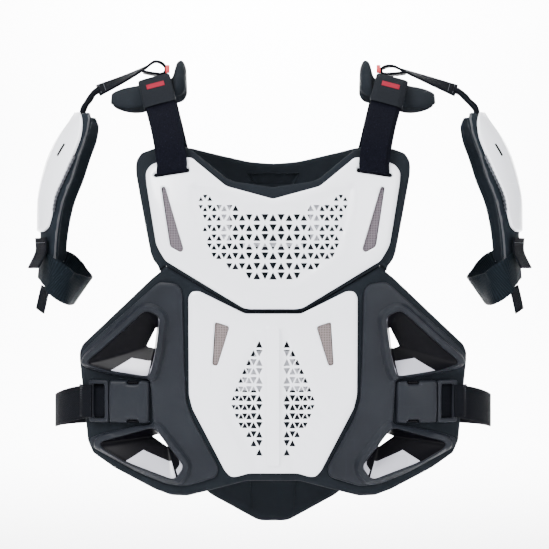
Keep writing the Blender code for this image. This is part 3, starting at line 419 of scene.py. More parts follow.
def effect(name, numbers, build):
    """A node group that takes a Vector and numbers, and puts out Mask and Height."""
    tree = bpy.data.node_groups.new(name, "ShaderNodeTree")
    tree.interface.new_socket(name="Vector", in_out="INPUT", socket_type="NodeSocketVector")
    for label, value in numbers.items():
        socket = tree.interface.new_socket(name=label, in_out="INPUT", socket_type="NodeSocketFloat")
        socket.default_value = value
    for label in ("Mask", "Height"):
        tree.interface.new_socket(name=label, in_out="OUTPUT", socket_type="NodeSocketFloat")
    inlet = tree.nodes.new("NodeGroupInput").outputs
    outlet = tree.nodes.new("NodeGroupOutput").inputs
    mask, height = build(tree, inlet)
    tree.links.new(mask, outlet["Mask"])
    tree.links.new(height, outlet["Height"])
    return tree


def noise(tree, vector, scale, detail=3.0, roughness=0.55):
    """A noise value of the vector."""
    links = {"Vector": vector, "Scale": scale, "Detail": detail, "Roughness": roughness}
    return add(tree, "ShaderNodeTexNoise", links).outputs[0]


def ramp(tree, value, low, high):
    """The value as 0 to 1 between two limits."""
    links = {"Value": value, "From Min": low, "From Max": high}
    return add(tree, "ShaderNodeMapRange", links).outputs["Result"]


def woven(tree, inlet):
    """Plain weave: a warp thread crosses over where the cell's parity is even, a weft thread where odd."""
    apart = add(tree, "ShaderNodeSeparateXYZ", {0: inlet["Vector"]}).outputs
    u = maths(tree, "MULTIPLY", apart[0], inlet["Across"])
    v = maths(tree, "MULTIPLY", apart[1], inlet["Along"])
    cells = maths(tree, "ADD", maths(tree, "FLOOR", u), maths(tree, "FLOOR", v))
    odd = maths(tree, "MODULO", maths(tree, "ABSOLUTE", cells), 2.0)
    warp = maths(tree, "ABSOLUTE", maths(tree, "SINE", maths(tree, "MULTIPLY", u, math.pi)))
    weft = maths(tree, "ABSOLUTE", maths(tree, "SINE", maths(tree, "MULTIPLY", v, math.pi)))
    first = maths(tree, "MULTIPLY", warp, maths(tree, "SUBTRACT", 1.0, odd))
    thread = maths(tree, "MULTIPLY_ADD", weft, odd, first)
    fuzz = noise(tree, inlet["Vector"], 900.0)
    return thread, maths(tree, "MULTIPLY_ADD", fuzz, 0.35, thread)


def ribbed(tree, inlet):
    """Ribs across a strap, each with a fine thread over it."""
    apart = add(tree, "ShaderNodeSeparateXYZ", {0: inlet["Vector"]}).outputs
    v = maths(tree, "MULTIPLY", apart[1], inlet["Along"])
    rib = maths(tree, "ABSOLUTE", maths(tree, "SINE", maths(tree, "MULTIPLY", v, math.pi)))
    u = maths(tree, "MULTIPLY", apart[0], inlet["Across"])
    thread = maths(tree, "ABSOLUTE", maths(tree, "SINE", maths(tree, "MULTIPLY", u, math.pi)))
    return rib, maths(tree, "MULTIPLY_ADD", thread, 0.3, rib)


def pile(tree, inlet):
    """Loop pile: small rounded tufts of uneven height."""
    links = {"Vector": inlet["Vector"], "Scale": inlet["Scale"]}
    tuft = add(tree, "ShaderNodeTexVoronoi", links).outputs["Distance"]
    clump = noise(tree, inlet["Vector"], 160.0)
    height = maths(tree, "SUBTRACT", maths(tree, "MULTIPLY", clump, 0.8), tuft)
    return ramp(tree, tuft, 0.1, 0.8), height


def net(tree, inlet):
    """Spacer mesh: round holes in offset rows; the mask is 1 on the threads."""
    apart = add(tree, "ShaderNodeSeparateXYZ", {0: inlet["Vector"]}).outputs
    u = maths(tree, "MULTIPLY", apart[0], inlet["Scale"])
    v = maths(tree, "MULTIPLY", apart[1], inlet["Scale"])
    first = maths(tree, "SINE", maths(tree, "ADD", u, v))
    second = maths(tree, "SINE", maths(tree, "SUBTRACT", u, v))
    hole = ramp(tree, maths(tree, "MULTIPLY", first, second), 0.15, 0.6)
    thread = maths(tree, "SUBTRACT", 1.0, hole)
    return thread, thread  # the threads stand up as far as they show


def grain(tree, inlet):
    """Fine moulded grain, with a slow change of tone as its mask."""
    fine = noise(tree, inlet["Vector"], inlet["Scale"], 4.0, 0.6)
    slow = noise(tree, inlet["Vector"], 14.0, 2.0)
    return ramp(tree, slow, 0.3, 0.7), fine


def scuffs(tree, inlet):
    """Short, faint scratches: noise drawn out in two directions, kept where it peaks."""
    found = []
    for turn, stretch in ((0.5, (260.0, 9.0, 9.0)), (-0.9, (9.0, 9.0, 300.0))):
        links = {"Vector": inlet["Vector"], "Rotation": (0.0, turn, turn), "Scale": stretch}
        drawn = add(tree, "ShaderNodeMapping", links).outputs[0]
        found.append(ramp(tree, noise(tree, drawn, 1.0, 2.0), 0.66, 0.74))
    patch = ramp(tree, noise(tree, inlet["Vector"], 22.0), 0.45, 0.65)
    lines = maths(tree, "MAXIMUM", *found)
    marks = maths(tree, "MULTIPLY", maths(tree, "MULTIPLY", lines, patch), inlet["Amount"])
    return marks, noise(tree, inlet["Vector"], 60.0)


EFFECTS = {
    "woven": effect("woven_threads", {"Across": 900.0, "Along": 900.0}, woven),
    "ribbed": effect("ribbed_elastic", {"Across": 1100.0, "Along": 420.0}, ribbed),
    "pile": effect("loop_pile", {"Scale": 900.0}, pile),
    "net": effect("spacer_mesh", {"Scale": 1900.0}, net),
    "grain": effect("moulded_grain", {"Scale": 1500.0}, grain),
    "scuffs": effect("light_scuffs", {"Amount": 1.0}, scuffs),
}


def surface(name, colours, roughness, layers, **sockets):
    """A Principled material.

    colours are the two ends of the base colour, roughness its two ends, and layers a list of
    (effect, numbers, coordinates, share of colour, share of roughness, bump height in metres).
    """
    material = bpy.data.materials.new(name)
    material.use_nodes = True
    tree = material.node_tree
    shader = tree.nodes["Principled BSDF"]
    for label, value in sockets.items():
        shader.inputs[label.replace("_", " ")].default_value = value
    coordinates = tree.nodes.new("ShaderNodeTexCoord").outputs
    tone, rough, normal = 0.0, 0.0, None
    for kind, numbers, source, to_tone, to_rough, bump in layers:
        group = add(tree, "ShaderNodeGroup", node_tree=EFFECTS[kind])
        tree.links.new(coordinates[source], group.inputs["Vector"])
        for label, value in numbers.items():
            group.inputs[label].default_value = value
        mask, height = group.outputs
        if to_tone:
            tone = maths(tree, "MULTIPLY_ADD", mask, to_tone, tone)
        if to_rough:
            rough = maths(tree, "MULTIPLY_ADD", mask, to_rough, rough)
        if bump:
            links = {"Height": height, "Distance": bump, "Strength": 1.0}
            if normal is not None:
                links["Normal"] = normal
            normal = add(tree, "ShaderNodeBump", links).outputs[0]
    low, high = ((*colour, 1.0) for colour in colours)
    mixed = add(tree, "ShaderNodeMix", data_type="RGBA", clamp_factor=True)
    mixed.inputs[6].default_value, mixed.inputs[7].default_value = low, high
    if isinstance(tone, bpy.types.NodeSocket):
        tree.links.new(tone, mixed.inputs[0])
        tree.links.new(mixed.outputs[2], shader.inputs["Base Color"])
    else:
        tree.nodes.remove(mixed)
        shader.inputs["Base Color"].default_value = low
    if isinstance(rough, bpy.types.NodeSocket):
        span = roughness[1] - roughness[0]
        spread = maths(tree, "MULTIPLY_ADD", rough, span, roughness[0])
        tree.links.new(spread, shader.inputs["Roughness"])
    else:
        shader.inputs["Roughness"].default_value = roughness[0]
    if normal is not None:
        tree.links.new(normal, shader.inputs["Normal"])
    return material


WHITE = surface(
    "white_gloss", ((0.825, 0.838, 0.895), (0.600, 0.612, 0.660)), (0.22, 0.55),
    [("grain", {"Scale": 700.0}, "Object", 0.05, 0.12, 0.00001),
     ("scuffs", {}, "Object", 0.40, 0.8, 0.0)],
    Coat_Weight=0.35, Coat_Roughness=0.12,
)
DARK = surface(
    "dark_moulded", ((0.0066, 0.0080, 0.0112), (0.0130, 0.0152, 0.0200)), (0.40, 0.58),
    [("grain", {"Scale": 1300.0}, "Object", 0.5, 0.6, 0.00010),
     ("scuffs", {}, "Object", 0.35, 0.4, 0.0)],
    Specular_IOR_Level=0.13,
)
BLACK = surface(
    "polished_black", ((0.002, 0.002, 0.003), (0.009, 0.009, 0.011)), (0.30, 0.50),
    [("scuffs", {}, "Object", 0.6, 0.9, 0.0)], Specular_IOR_Level=0.045,
)
# Painted highlight: a pale grey given as colour to the duct faces where light falls, on the floor and the
# inboard rim
DUCT_HIGHLIGHT_PAINT = surface(
    "duct_wall_painted_highlight", ((0.340, 0.340, 0.390), (0.430, 0.430, 0.480)), (0.20, 0.40),
    [("grain", {"Scale": 500.0}, "Object", 0.8, 0.5, 0.0)],
)
RIB = surface(
    "backing_rib", ((0.400, 0.405, 0.440), (0.520, 0.525, 0.560)), (0.50, 0.70),
    [("grain", {"Scale": 500.0}, "Object", 0.6, 0.4, 0.0)], Specular_IOR_Level=0.20,
)
FOAM = surface(
    "foam_cloth", ((0.0032, 0.0046, 0.0066), (0.0090, 0.0118, 0.0156)), (0.78, 0.90),
    [("woven", {"Across": 1300.0, "Along": 1300.0}, "UV", 0.55, 0.5, 0.00012),
     ("grain", {"Scale": 260.0}, "Object", 0.25, 0.3, 0.00015)],
    Specular_IOR_Level=0.09,
)
FLAP = surface(
    "arm_cloth", ((0.0030, 0.0052, 0.0080), (0.0090, 0.0130, 0.0180)), (0.72, 0.90),
    [("woven", {"Across": 1100.0, "Along": 1100.0}, "UV", 0.6, 0.5, 0.00015),
     ("grain", {"Scale": 200.0}, "Object", 0.25, 0.3, 0.0002)],
    Specular_IOR_Level=0.09,
)
PILE = surface(
    "navy_loop_pile", ((0.0030, 0.0034, 0.0070), (0.0009, 0.0010, 0.0024)), (0.85, 0.95),
    [("pile", {"Scale": 950.0}, "UV", 0.8, 0.4, 0.00045)],
    Specular_IOR_Level=0.045,
)
WEBBING = surface(
    "black_webbing", ((0.0012, 0.0015, 0.0026), (0.0046, 0.0054, 0.0078)), (0.65, 0.85),
    [("woven", {"Across": 620.0, "Along": 760.0}, "UV", 0.75, 0.5, 0.00030)],
    Specular_IOR_Level=0.04,
)
ELASTIC = surface(
    "ribbed_elastic", ((0.0016, 0.0030, 0.0046), (0.0060, 0.0095, 0.0130)), (0.60, 0.85),
    [("ribbed", {"Along": 400.0}, "UV", 0.8, 0.5, 0.00040)],
    Specular_IOR_Level=0.04,
)
SLEEVE = surface(
    "sleeve_knit", ((0.0032, 0.0040, 0.0056), (0.0088, 0.0106, 0.0140)), (0.70, 0.85),
    [("woven", {"Across": 1000.0, "Along": 700.0}, "UV", 0.7, 0.5, 0.00020)],
    Specular_IOR_Level=0.06,
)
CHEST_MESH = surface(
    "chest_spacer_mesh", ((0.010, 0.009, 0.011), (0.118, 0.100, 0.116)), (0.60, 0.80),
    [("net", {"Scale": 1700.0}, "UV", 1.0, 0.5, 0.00040)], Specular_IOR_Level=0.15,
)
BELLY_MESH = surface(
    "belly_spacer_mesh", ((0.014, 0.012, 0.012), (0.185, 0.152, 0.150)), (0.60, 0.80),
    [("net", {"Scale": 1700.0}, "UV", 1.0, 0.5, 0.00040)], Specular_IOR_Level=0.15,
)
RED = surface(
    "red_tape", ((0.480, 0.020, 0.028), (0.760, 0.055, 0.065)), (0.55, 0.75),
    [("woven", {"Across": 1500.0, "Along": 1500.0}, "UV", 0.8, 0.5, 0.00012)],
)
CRIMSON = surface(
    "crimson_bar", ((0.150, 0.006, 0.016), (0.205, 0.010, 0.024)), (0.60, 0.75),
    [("woven", {"Across": 1500.0, "Along": 1500.0}, "UV", 0.8, 0.5, 0.00004)], Specular_IOR_Level=0.06,
)
PIPING = surface(
    "grey_piping", ((0.014, 0.016, 0.020), (0.034, 0.037, 0.045)), (0.50, 0.70),
    [("woven", {"Across": 900.0, "Along": 900.0}, "UV", 0.7, 0.5, 0.00015)],
)
THREAD = surface(
    "dark_thread", ((0.020, 0.022, 0.028), (0.060, 0.065, 0.078)), (0.55, 0.75),
    [("grain", {"Scale": 2500.0}, "Object", 0.7, 0.5, 0.00005)],
)


# Shape tools

def smooth(rows, at):
    """Reads a table at the given places, on a cubic through its rows with the mean slopes."""
    table = np.array(rows, float)
    at = np.asarray(at, float)
    x, y = table[:, 0], table[:, 1:]
    slope = np.gradient(y, x, axis=0)
    i = np.clip(np.searchsorted(x, at) - 1, 0, len(x) - 2)
    h = (x[i + 1] - x[i])[..., None]
    t = np.clip((at - x[i]) / (x[i + 1] - x[i]), 0, 1)[..., None]
    start = (2 * t**3 - 3 * t**2 + 1) * y[i] + (t**3 - 2 * t**2 + t) * h * slope[i]
    return start + (3 * t**2 - 2 * t**3) * y[i + 1] + (t**3 - t**2) * h * slope[i + 1]


def unit(vectors):
    """Each vector at length 1."""
    return vectors / np.linalg.norm(vectors, axis=-1, keepdims=True)


def torso_y(x, z, side):
    """Front or back of the body: a superellipse across, whose depth follows TORSO_ROWS."""
    share = smooth(TORSO_ROWS, -np.asarray(z) / TORSO_H)[..., 0]
    across = np.clip(np.abs(x) / TORSO_HALF_W, 0, 0.985) ** TORSO_POWER
    depth = {"front": -TORSO_DEPTH, "back": BACK_DEPTH}[side]
    return depth * share * (1 - across) ** (1 / TORSO_POWER)


def on_torso(x, z, side, lift):
    """Points that stand lift above the body, along its normal."""
    x, z = np.asarray(x, float), np.asarray(z, float)
    step = 1e-4
    sign = {"front": 1.0, "back": -1.0}[side]
    dx = (torso_y(x + step, z, side) - torso_y(x - step, z, side)) / (2 * step)
    dz = (torso_y(x, z + step, side) - torso_y(x, z - step, side)) / (2 * step)
    normal = unit(np.stack([dx * sign, -np.ones_like(dx) * sign, dz * sign], -1))
    return np.stack([x, torso_y(x, z, side), z], -1) + normal * np.asarray(lift)[..., None]


def scaled(rows, half_width, top, height):
    """A table of shares as points in metres."""
    return [(across * half_width, top - down * height) for across, down in rows]


def mirrored(half):
    """A whole outline from its half at +X, whose first and last points lie on the middle."""
    return list(half) + [(-x, z) for x, z in reversed(half) if abs(x) > 1e-6]


def sided(points, side):
    """An outline at +X, or its mirror image at -X."""
    return [(SIDES[side] * x, z) for x, z in points]


def inside(points, loop):
    """Which points lie inside a loop, by counting the edges to one side of each."""
    loop = np.array(loop)
    after = np.roll(loop, -1, 0)
    px, pz = points[:, :1], points[:, 1:]
    crosses = (loop[:, 1] > pz) != (after[:, 1] > pz)
    rise = np.where(after[:, 1] == loop[:, 1], 1.0, after[:, 1] - loop[:, 1])
    at = loop[:, 0] + (pz - loop[:, 1]) * (after[:, 0] - loop[:, 0]) / rise
    return (crosses & (px < at)).sum(1) % 2 == 1


def distance(points, loop):
    """How far each point lies from a loop's edges."""
    loop = np.array(loop)
    ahead = np.roll(loop, -1, 0) - loop
    to = points[:, None] - loop
    t = np.clip((to * ahead).sum(-1) / (ahead**2).sum(-1), 0, 1)
    return np.linalg.norm(to - t[..., None] * ahead, axis=-1).min(1)


def grown(loop, by):
    """The loop moved outwards by a distance, each corner along its mitre."""
    loop = np.array(loop)
    before, after = loop - np.roll(loop, 1, 0), np.roll(loop, -1, 0) - loop
    ahead = np.roll(loop, -1, 0)
    turn = math.copysign(1.0, (loop[:, 0] * ahead[:, 1] - ahead[:, 0] * loop[:, 1]).sum())
    first = unit(np.stack([before[:, 1], -before[:, 0]], -1) * turn)
    second = unit(np.stack([after[:, 1], -after[:, 0]], -1) * turn)
    mitre = first + second
    mitre /= np.maximum((mitre * first).sum(1, keepdims=True), 0.5)
    return [tuple(p) for p in loop + mitre * by]


def softened(loop, radius, count=4, share=0.40):
    """The loop with each corner rounded by a short parabola."""
    loop = np.array(loop, float)
    ends = []
    for other in (np.roll(loop, 1, 0), np.roll(loop, -1, 0)):
        away = other - loop
        length = np.linalg.norm(away, axis=1, keepdims=True)
        ends.append(loop + away * np.minimum(radius / length, share))
    t = np.linspace(0, 1, count)[None, :, None]
    curve = (1 - t) ** 2 * ends[0][:, None] + 2 * t * (1 - t) * loop[:, None] + t**2 * ends[1][:, None]
    return [tuple(p) for p in curve.reshape(-1, 2)]


def divided(loop, step):
    """The loop with its long edges split, so that it bends with the body."""
    loop = np.array(loop, float)
    after = np.roll(loop, -1, 0)
    counts = np.maximum(1, np.ceil(np.linalg.norm(after - loop, axis=1) / step)).astype(int)
    which = np.repeat(np.arange(len(loop)), counts)
    start = np.repeat(np.cumsum(counts) - counts, counts)
    t = ((np.arange(len(which)) - start) / counts[which])[:, None]
    return [tuple(p) for p in loop[which] * (1 - t) + after[which] * t]


def flat_mesh(outline, holes, creases, cell):
    """Triangles of an outline with holes, whose creases are edges, over a square grid."""
    outline = divided(outline, cell)
    holes = [divided(loop, cell) for loop in holes]
    loops = [outline, *holes, *(divided(loop, cell) for loop in creases)]
    points = [Vector(p) for loop in loops for p in loop]
    edges, start = [], 0
    for loop in loops:
        edges += [(start + i, start + (i + 1) % len(loop)) for i in range(len(loop))]
        start += len(loop)
    reach = math.ceil(max(abs(v) for p in outline for v in p) / cell)
    steps = np.arange(-reach, reach + 1) * cell
    grid = np.stack(np.meshgrid(steps, steps), -1).reshape(-1, 2)
    grid = grid[inside(grid, outline)]
    taken = np.array([tuple(p) for p in points])
    near = np.full(len(grid), np.inf)
    for part in np.array_split(taken, max(1, len(taken) // 500)):
        near = np.minimum(near, np.linalg.norm(grid[:, None] - part, axis=-1).min(1))
    grid = grid[near > 0.45 * cell]
    for loop in holes:
        grid = grid[~inside(grid, loop)]
    points += [Vector(p) for p in grid]
    found, _, faces, *_ = delaunay_2d_cdt(points, edges, [], 0, 1e-7)
    found, faces = np.array([tuple(p) for p in found]), np.array(faces)
    middle = found[faces].mean(1)
    keep = inside(middle, outline)
    for loop in holes:
        keep &= ~inside(middle, loop)
    return found, faces[keep]


def build(name, points, faces, uv, looks, slot, nodes=(), fill=None, index=None, angle=40):
    """One finished piece: a mesh with UVs in metres that rides on the frame."""
    mesh = bpy.data.meshes.new(name)
    points = np.asarray(points, float).reshape(-1, 3)
    mesh.from_pydata(points.tolist(), [], [list(map(int, f)) for f in faces])
    mesh.calc_loop_triangles()
    ends = np.empty(len(mesh.loop_triangles) * 3, np.int32)
    mesh.loop_triangles.foreach_get("vertices", ends)
    if np.linalg.det(points[ends.reshape(-1, 3)]).sum() < 0:
        mesh.flip_normals()
    corner = np.empty(len(mesh.loops), np.int32)
    mesh.loops.foreach_get("vertex_index", corner)
    flat = np.asarray(uv, np.float32).reshape(-1, 2)[corner]
    mesh.uv_layers.new(name="UVMap").data.foreach_set("uv", flat.ravel())
    for material in looks:
        mesh.materials.append(material)
    if index is not None:
        mesh.polygons.foreach_set("material_index", np.asarray(index, np.int32))
    mesh.shade_smooth()
    mesh.set_sharp_from_angle(angle=math.radians(angle))
    piece = bpy.data.objects.new(name, mesh)
    bpy.context.scene.collection.objects.link(piece)
    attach(piece, "root")
    if nodes:
        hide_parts(*nodes)


def slab(name, side, flat, faces, low, high, look, slot, nodes=(), fill=None):
    """A plate on the body: a bottom skin at low, a top skin at high, and walls along its open edges."""
    size = len(flat)
    low, high = np.zeros(size) + low, np.zeros(size) + high
    top = on_torso(flat[:, 0], flat[:, 1], side, high)
    bottom = on_torso(flat[:, 0], flat[:, 1], side, low)
    ends = np.concatenate([faces[:, [0, 1]], faces[:, [1, 2]], faces[:, [2, 0]]])
    _, which, count = np.unique(np.sort(ends, 1), axis=0, return_inverse=True, return_counts=True)
    rim = ends[count[which.reshape(-1)] == 1]
    walls = np.stack([rim[:, 1], rim[:, 0], rim[:, 0] + size, rim[:, 1] + size], 1)
    every = faces.tolist() + (faces[:, ::-1] + size).tolist() + walls.tolist()
    uv = np.concatenate([flat, flat])
    build(name, np.concatenate([top, bottom]), every, uv, [look], slot, nodes, fill)


def rounding(away, radius):
    """How much lower a rounded edge is, at each distance from it."""
    inwards = 1 - np.clip(away / radius, 0, 1)
    return radius * (1 - np.sqrt(np.clip(1 - inwards**2, 0, 1)))


def eased(value):
    """A smooth step from 0 to 1."""
    value = np.clip(value, 0, 1)
    return value * value * (3 - 2 * value)


def dipped(flat, loop, depth, slope):
    """A shallow recess inside a loop, with sloping sides."""
    return -depth * np.where(inside(flat, loop), eased(distance(flat, loop) / slope), 0.0)


def along(points, count):
    """A path through the points, resampled evenly by its length."""
    points = np.array(points, float)
    length = lengths(points)
    return smooth(np.column_stack([length, points]), np.linspace(0, length[-1], count))


def directions(path):
    """The unit tangent at each point of a path."""
    return unit(np.gradient(path, axis=0))


def across_of(path, wanted):
    """The wanted width directions, turned square to the path."""
    ahead = directions(path)
    wanted = np.broadcast_to(np.asarray(wanted, float), path.shape)
    return unit(wanted - (wanted * ahead).sum(1, keepdims=True) * ahead)


def lengths(path):
    """The length of a path up to each of its points."""
    return np.r_[0, np.cumsum(np.linalg.norm(np.diff(path, axis=0), axis=1))]


def uv_grid(around, run):
    """UVs in metres over rings: around each of them, and along the run."""
    return np.stack(np.broadcast_arrays(around[None], run[:, None]), -1)


def square_to(ahead):
    """Two unit directions square to each given one and to each other."""
    side = unit(np.cross(ahead, [0.31, 0.2, 0.93]))
    return side, np.cross(side, ahead)


def circles(side, up, turn):
    """Unit circles: side times the cosine of each turn plus up times its sine."""
    return side[:, None] * np.cos(turn)[None, :, None] + up[:, None] * np.sin(turn)[None, :, None]


def skin(rows, columns, wrap=False):
    """Quads of a grid, whose rows close on themselves, and whose last row joins the first where wrap."""
    i, j = np.meshgrid(np.arange(rows if wrap else rows - 1), np.arange(columns), indexing="ij")
    after, right = (i + 1) % rows, (j + 1) % columns
    quads = (i * columns + j, i * columns + right, after * columns + right, after * columns + j)
    return np.stack([q.ravel() for q in quads], 1)


def loft(name, rings, uv, look, slot, nodes=(), fill=None, angle=40):
    """A closed skin over rings of equal count, with a flat cap at both ends."""
    rows, columns = rings.shape[:2]
    faces = skin(rows, columns).tolist()
    faces += [list(range(columns))[::-1], list(range((rows - 1) * columns, rows * columns))]
    build(name, rings, faces, uv, [look], slot, nodes, fill, angle=angle)


def strap_profile(width, thick, crown=0.0):
    """Cross-section of a strap: flat faces, round edges; crown bows both faces out."""
    half = thick / 2
    turn = np.radians(np.linspace(-75, 75, 5))
    face = np.linspace(1, -1, 9)[1:-1] * (width / 2 - half)
    bow = half + crown * (1 - (face / (width / 2)) ** 2)
    right = np.stack([width / 2 - half + half * np.cos(turn), half * np.sin(turn)], 1)
    top, low = np.stack([face, bow], 1), np.stack([-face, -bow], 1)
    return np.concatenate([right, top, -right, low])


def strap(name, path, wanted, width, thick, look, slot, nodes=()):
    """A strap's profile swept along a path; its width stands along the wanted directions."""
    across = across_of(path, wanted)
    deep = np.cross(directions(path), across)
    profile = strap_profile(width, thick)
    rings = path[:, None] + across[:, None] * profile[None, :, :1] + deep[:, None] * profile[None, :, 1:]
    loft(name, rings, uv_grid(lengths(profile), lengths(path)), look, slot, nodes)


def tube(name, path, radius, look, slot):
    """A round cord of one radius along a path."""
    turn = np.linspace(0, 2 * math.pi, 9)[:-1]
    rings = path[:, None] + radius * circles(*square_to(directions(path)), turn)
    loft(name, rings, uv_grid(turn * radius, lengths(path)), look, slot)


def stitches(name, centres, ahead, length):
    """Short thread loops: at each centre a small closed spindle of four rings along its direction."""
    ahead = unit(ahead)
    rows, columns = 4, 6
    run = np.array([-0.5, -0.3, 0.3, 0.5]) * length
    girth = np.array([0.25, 1.0, 1.0, 0.25]) * STITCH_R
    turn = np.linspace(0, 2 * math.pi, columns + 1)[:-1]
    around = circles(*square_to(ahead), turn)[:, None]
    points = centres[:, None, None] + ahead[:, None, None] * run[None, :, None, None]
    points = points + around * girth[None, :, None, None]
    size = rows * columns
    shift = (np.arange(len(centres)) * size)[:, None, None]
    faces = (skin(rows, columns)[None] + shift).reshape(-1, 4).tolist()
    for cap in (np.arange(columns)[::-1], np.arange(size - columns, size)):
        faces += (cap[None] + shift[:, :, 0]).tolist()
    build(name, points, faces, np.zeros((len(centres) * size, 2)), [THREAD], "black_webbing")


# Panels

def whole_loop(rows, size, corner):
    """A softened loop across the middle, from the table of its half at +X."""
    return softened(mirrored(scaled(rows, *size)), corner)


def side_loop(rows, size, side, corner, count=4):
    """A softened loop on one side, from the table of the one at +X."""
    return softened(sided(scaled(rows, *size), side), corner, count)


def creased(loop, radius, shares):
    """The lines of a rounded edge: the loop moved inwards by shares of the radius."""
    return [grown(loop, -share * radius) for share in shares]


def vent(x, z, width, height, up):
    """One triangular vent with blunted corners, its apex up or down."""
    rise = height / 2 if up else -height / 2
    corners = [(x - width / 2, z - rise), (x + width / 2, z - rise), (x, z + rise)]
    return softened(corners, CORNER * width, 3)


def chest_vents():
    """Rows of triangles that point up and down in turn, smaller and closer together outwards."""
    found = []
    half, top, tall = CHEST_SIZE
    for row, (down, first, last) in enumerate(CHEST_ROWS, -1):
        for column in range(first, last + 1):
            size = 1 - VENT_SHRINK * column
            up = (column + row) % 2 == 1
            gather = VENT_GATHER * max(0, column - GATHER_FROM) / GATHER_OVER * (-1 if up else 1)
            for sign in (1, -1)[: 1 if column == 0 else 2]:
                x = sign * CHEST_COLUMNS[column] * half
                z = top - down * tall + gather
                found.append(vent(x, z, CHEST_VENT[0] * size, CHEST_VENT[1] * size, up))
    return found


def belly_vents():
    """The same on each side of the spine, in rows of one pitch."""
    found = []
    half, top, tall = BELLY_SIZE
    for row, last in enumerate(BELLY_ROW_ENDS, 1):
        for column in range(1, last + 1):
            size = 1 - BELLY_SHRINK * VENT_SHRINK * (column - 1)
            z = top - FIRST_BELLY_ROW * tall - (row - 1) * BELLY_VENT_PITCH
            up = (column + row) % 2 == 0
            for sign in (1, -1):
                x = sign * BELLY_COLUMNS[column - 1] * half
                found.append(vent(x, z, BELLY_VENT[0] * size, BELLY_VENT[1] * size, up))
    return found


def strap_slot(sign):
    """The slot where a strap goes into the chest plate, square to the strap's lean."""
    half, tall = STRAP_W / 2 + SLOT_SPARE / 2, WEBBING_T / 2 + SLOT_SPARE / 2
    corners = ((-half, -tall), (half, -tall), (half + tall, 0.0), (half, tall), (-half, tall))
    c, s = math.cos(SLOT_LEAN), math.sin(SLOT_LEAN)
    z = CHEST_SIZE[1] - SLOT_DROP
    loop = [(sign * (SLOT_X + a * c + b * s), z - a * s + b * c) for a, b in corners]
    return softened(loop, SLOT_CORNER, 3)


def plate(name, outline, holes, vents, rim, lift, relief, creases, node):
    """A white moulded plate with wall PLATE_T.

    Its top is the lift plus the wall, plus the rim's rise eased in from the outer edge, plus its
    own relief, less a quarter round at the outer edge and at each hole. Vents have sharp edges.
    """
    loops = creased(outline, EDGE_ROUND, EDGE_CREASES)
    loops += [grown(outline, -CHEST_RIM_W), *creases]
    loops += [grown(loop, EDGE_ROUND) for loop in holes]
    flat, faces = flat_mesh(outline, holes + vents, loops, FINE_CELL)
    edge = distance(flat, outline)
    high = lift + PLATE_T + rim * eased(edge / CHEST_RIM_W) + relief(flat) - rounding(edge, EDGE_ROUND)
    for loop in holes:
        high -= rounding(distance(flat, loop), EDGE_ROUND)
    low = lift + rim * np.minimum(edge / CHEST_RIM_W, 1)
    slab(
        name, "front", flat, faces, np.minimum(low, high - LEAST_PLATE), high, WHITE, "white_plastic",
        [node],
    )


def make_slit_mesh(label, side, rows, size, lift, look):
    """Cloth in a plate's side slit: flat below, its top puffed up away from its edge."""
    inner = softened(grown(sided(scaled(rows, *size), side), -GAP), MESH_CORNER)
    flat, faces = flat_mesh(inner, [], [grown(inner, -MESH_CREASE)], COARSE_CELL)
    puff = lift + MESH_T + MESH_PUFF * eased(distance(flat, inner) / PUFF_SLOPE)
    slab(
        f"{label}_mesh_cloth_{side}", "front", flat, faces, lift, puff, look, "grey_mesh",
        [f"{label}_mesh_{side}"],
    )


def make_rib(name, loop, base):
    """A light backing rib behind the vents, whose face stands base above the body."""
    flat, faces = flat_mesh(loop, [], [], COARSE_CELL)
    slab(name, "front", flat, faces, base - RIB_T, base, RIB, "white_plastic")


def make_chest():
    """Chest plate with all its vents, ribs behind them, foam border and side mesh."""
    outline = whole_loop(CHEST_OUTLINE, CHEST_SIZE, PLATE_CORNER)
    dip = whole_loop(CHEST_DIP, CHEST_SIZE, CHEST_DIP_CORNER)
    holes = [strap_slot(sign) for sign in SIDES.values()]
    holes += [side_loop(CHEST_SLIT, CHEST_SIZE, side, SLIT_CORNER) for side in SIDES]
    lift = CHEST_FOAM_T + GAP
    plate(
        "chest_plate_moulded", outline, holes, chest_vents(), CHEST_RIM, lift,
        lambda flat: dipped(flat, dip, PANEL_DIP, DIP_SLOPE), [dip, grown(dip, -DIP_SLOPE)],
        "chest_plate",
    )
    border = whole_loop(CHEST_FOAM_UP + CHEST_FOAM_LOW, CHEST_SIZE, FOAM_CORNER)
    field = whole_loop(CHEST_FIELD, CHEST_SIZE, CHEST_FIELD_CORNER)
    flat, faces = flat_mesh(border, [field], creased(border, FOAM_ROUND, FOAM_CREASES), COARSE_CELL)
    high = CHEST_FOAM_T - rounding(distance(flat, border), FOAM_ROUND)
    low = rounding(distance(flat, border), FOAM_ROUND * FOAM_UNDERSIDE)
    slab(
        "chest_foam_padded", "front", flat, faces, low, high, FOAM, "black_foam", ["chest_foam"],
        FOAM_FILL,
    )
    for side in SIDES:
        make_slit_mesh("chest", side, CHEST_SLIT, CHEST_SIZE, lift, CHEST_MESH)
    for label, (drop, loop) in VENT_RIBS.items():
        make_rib(f"vent_rib_{label}", loop, CHEST_FOAM_T - drop)


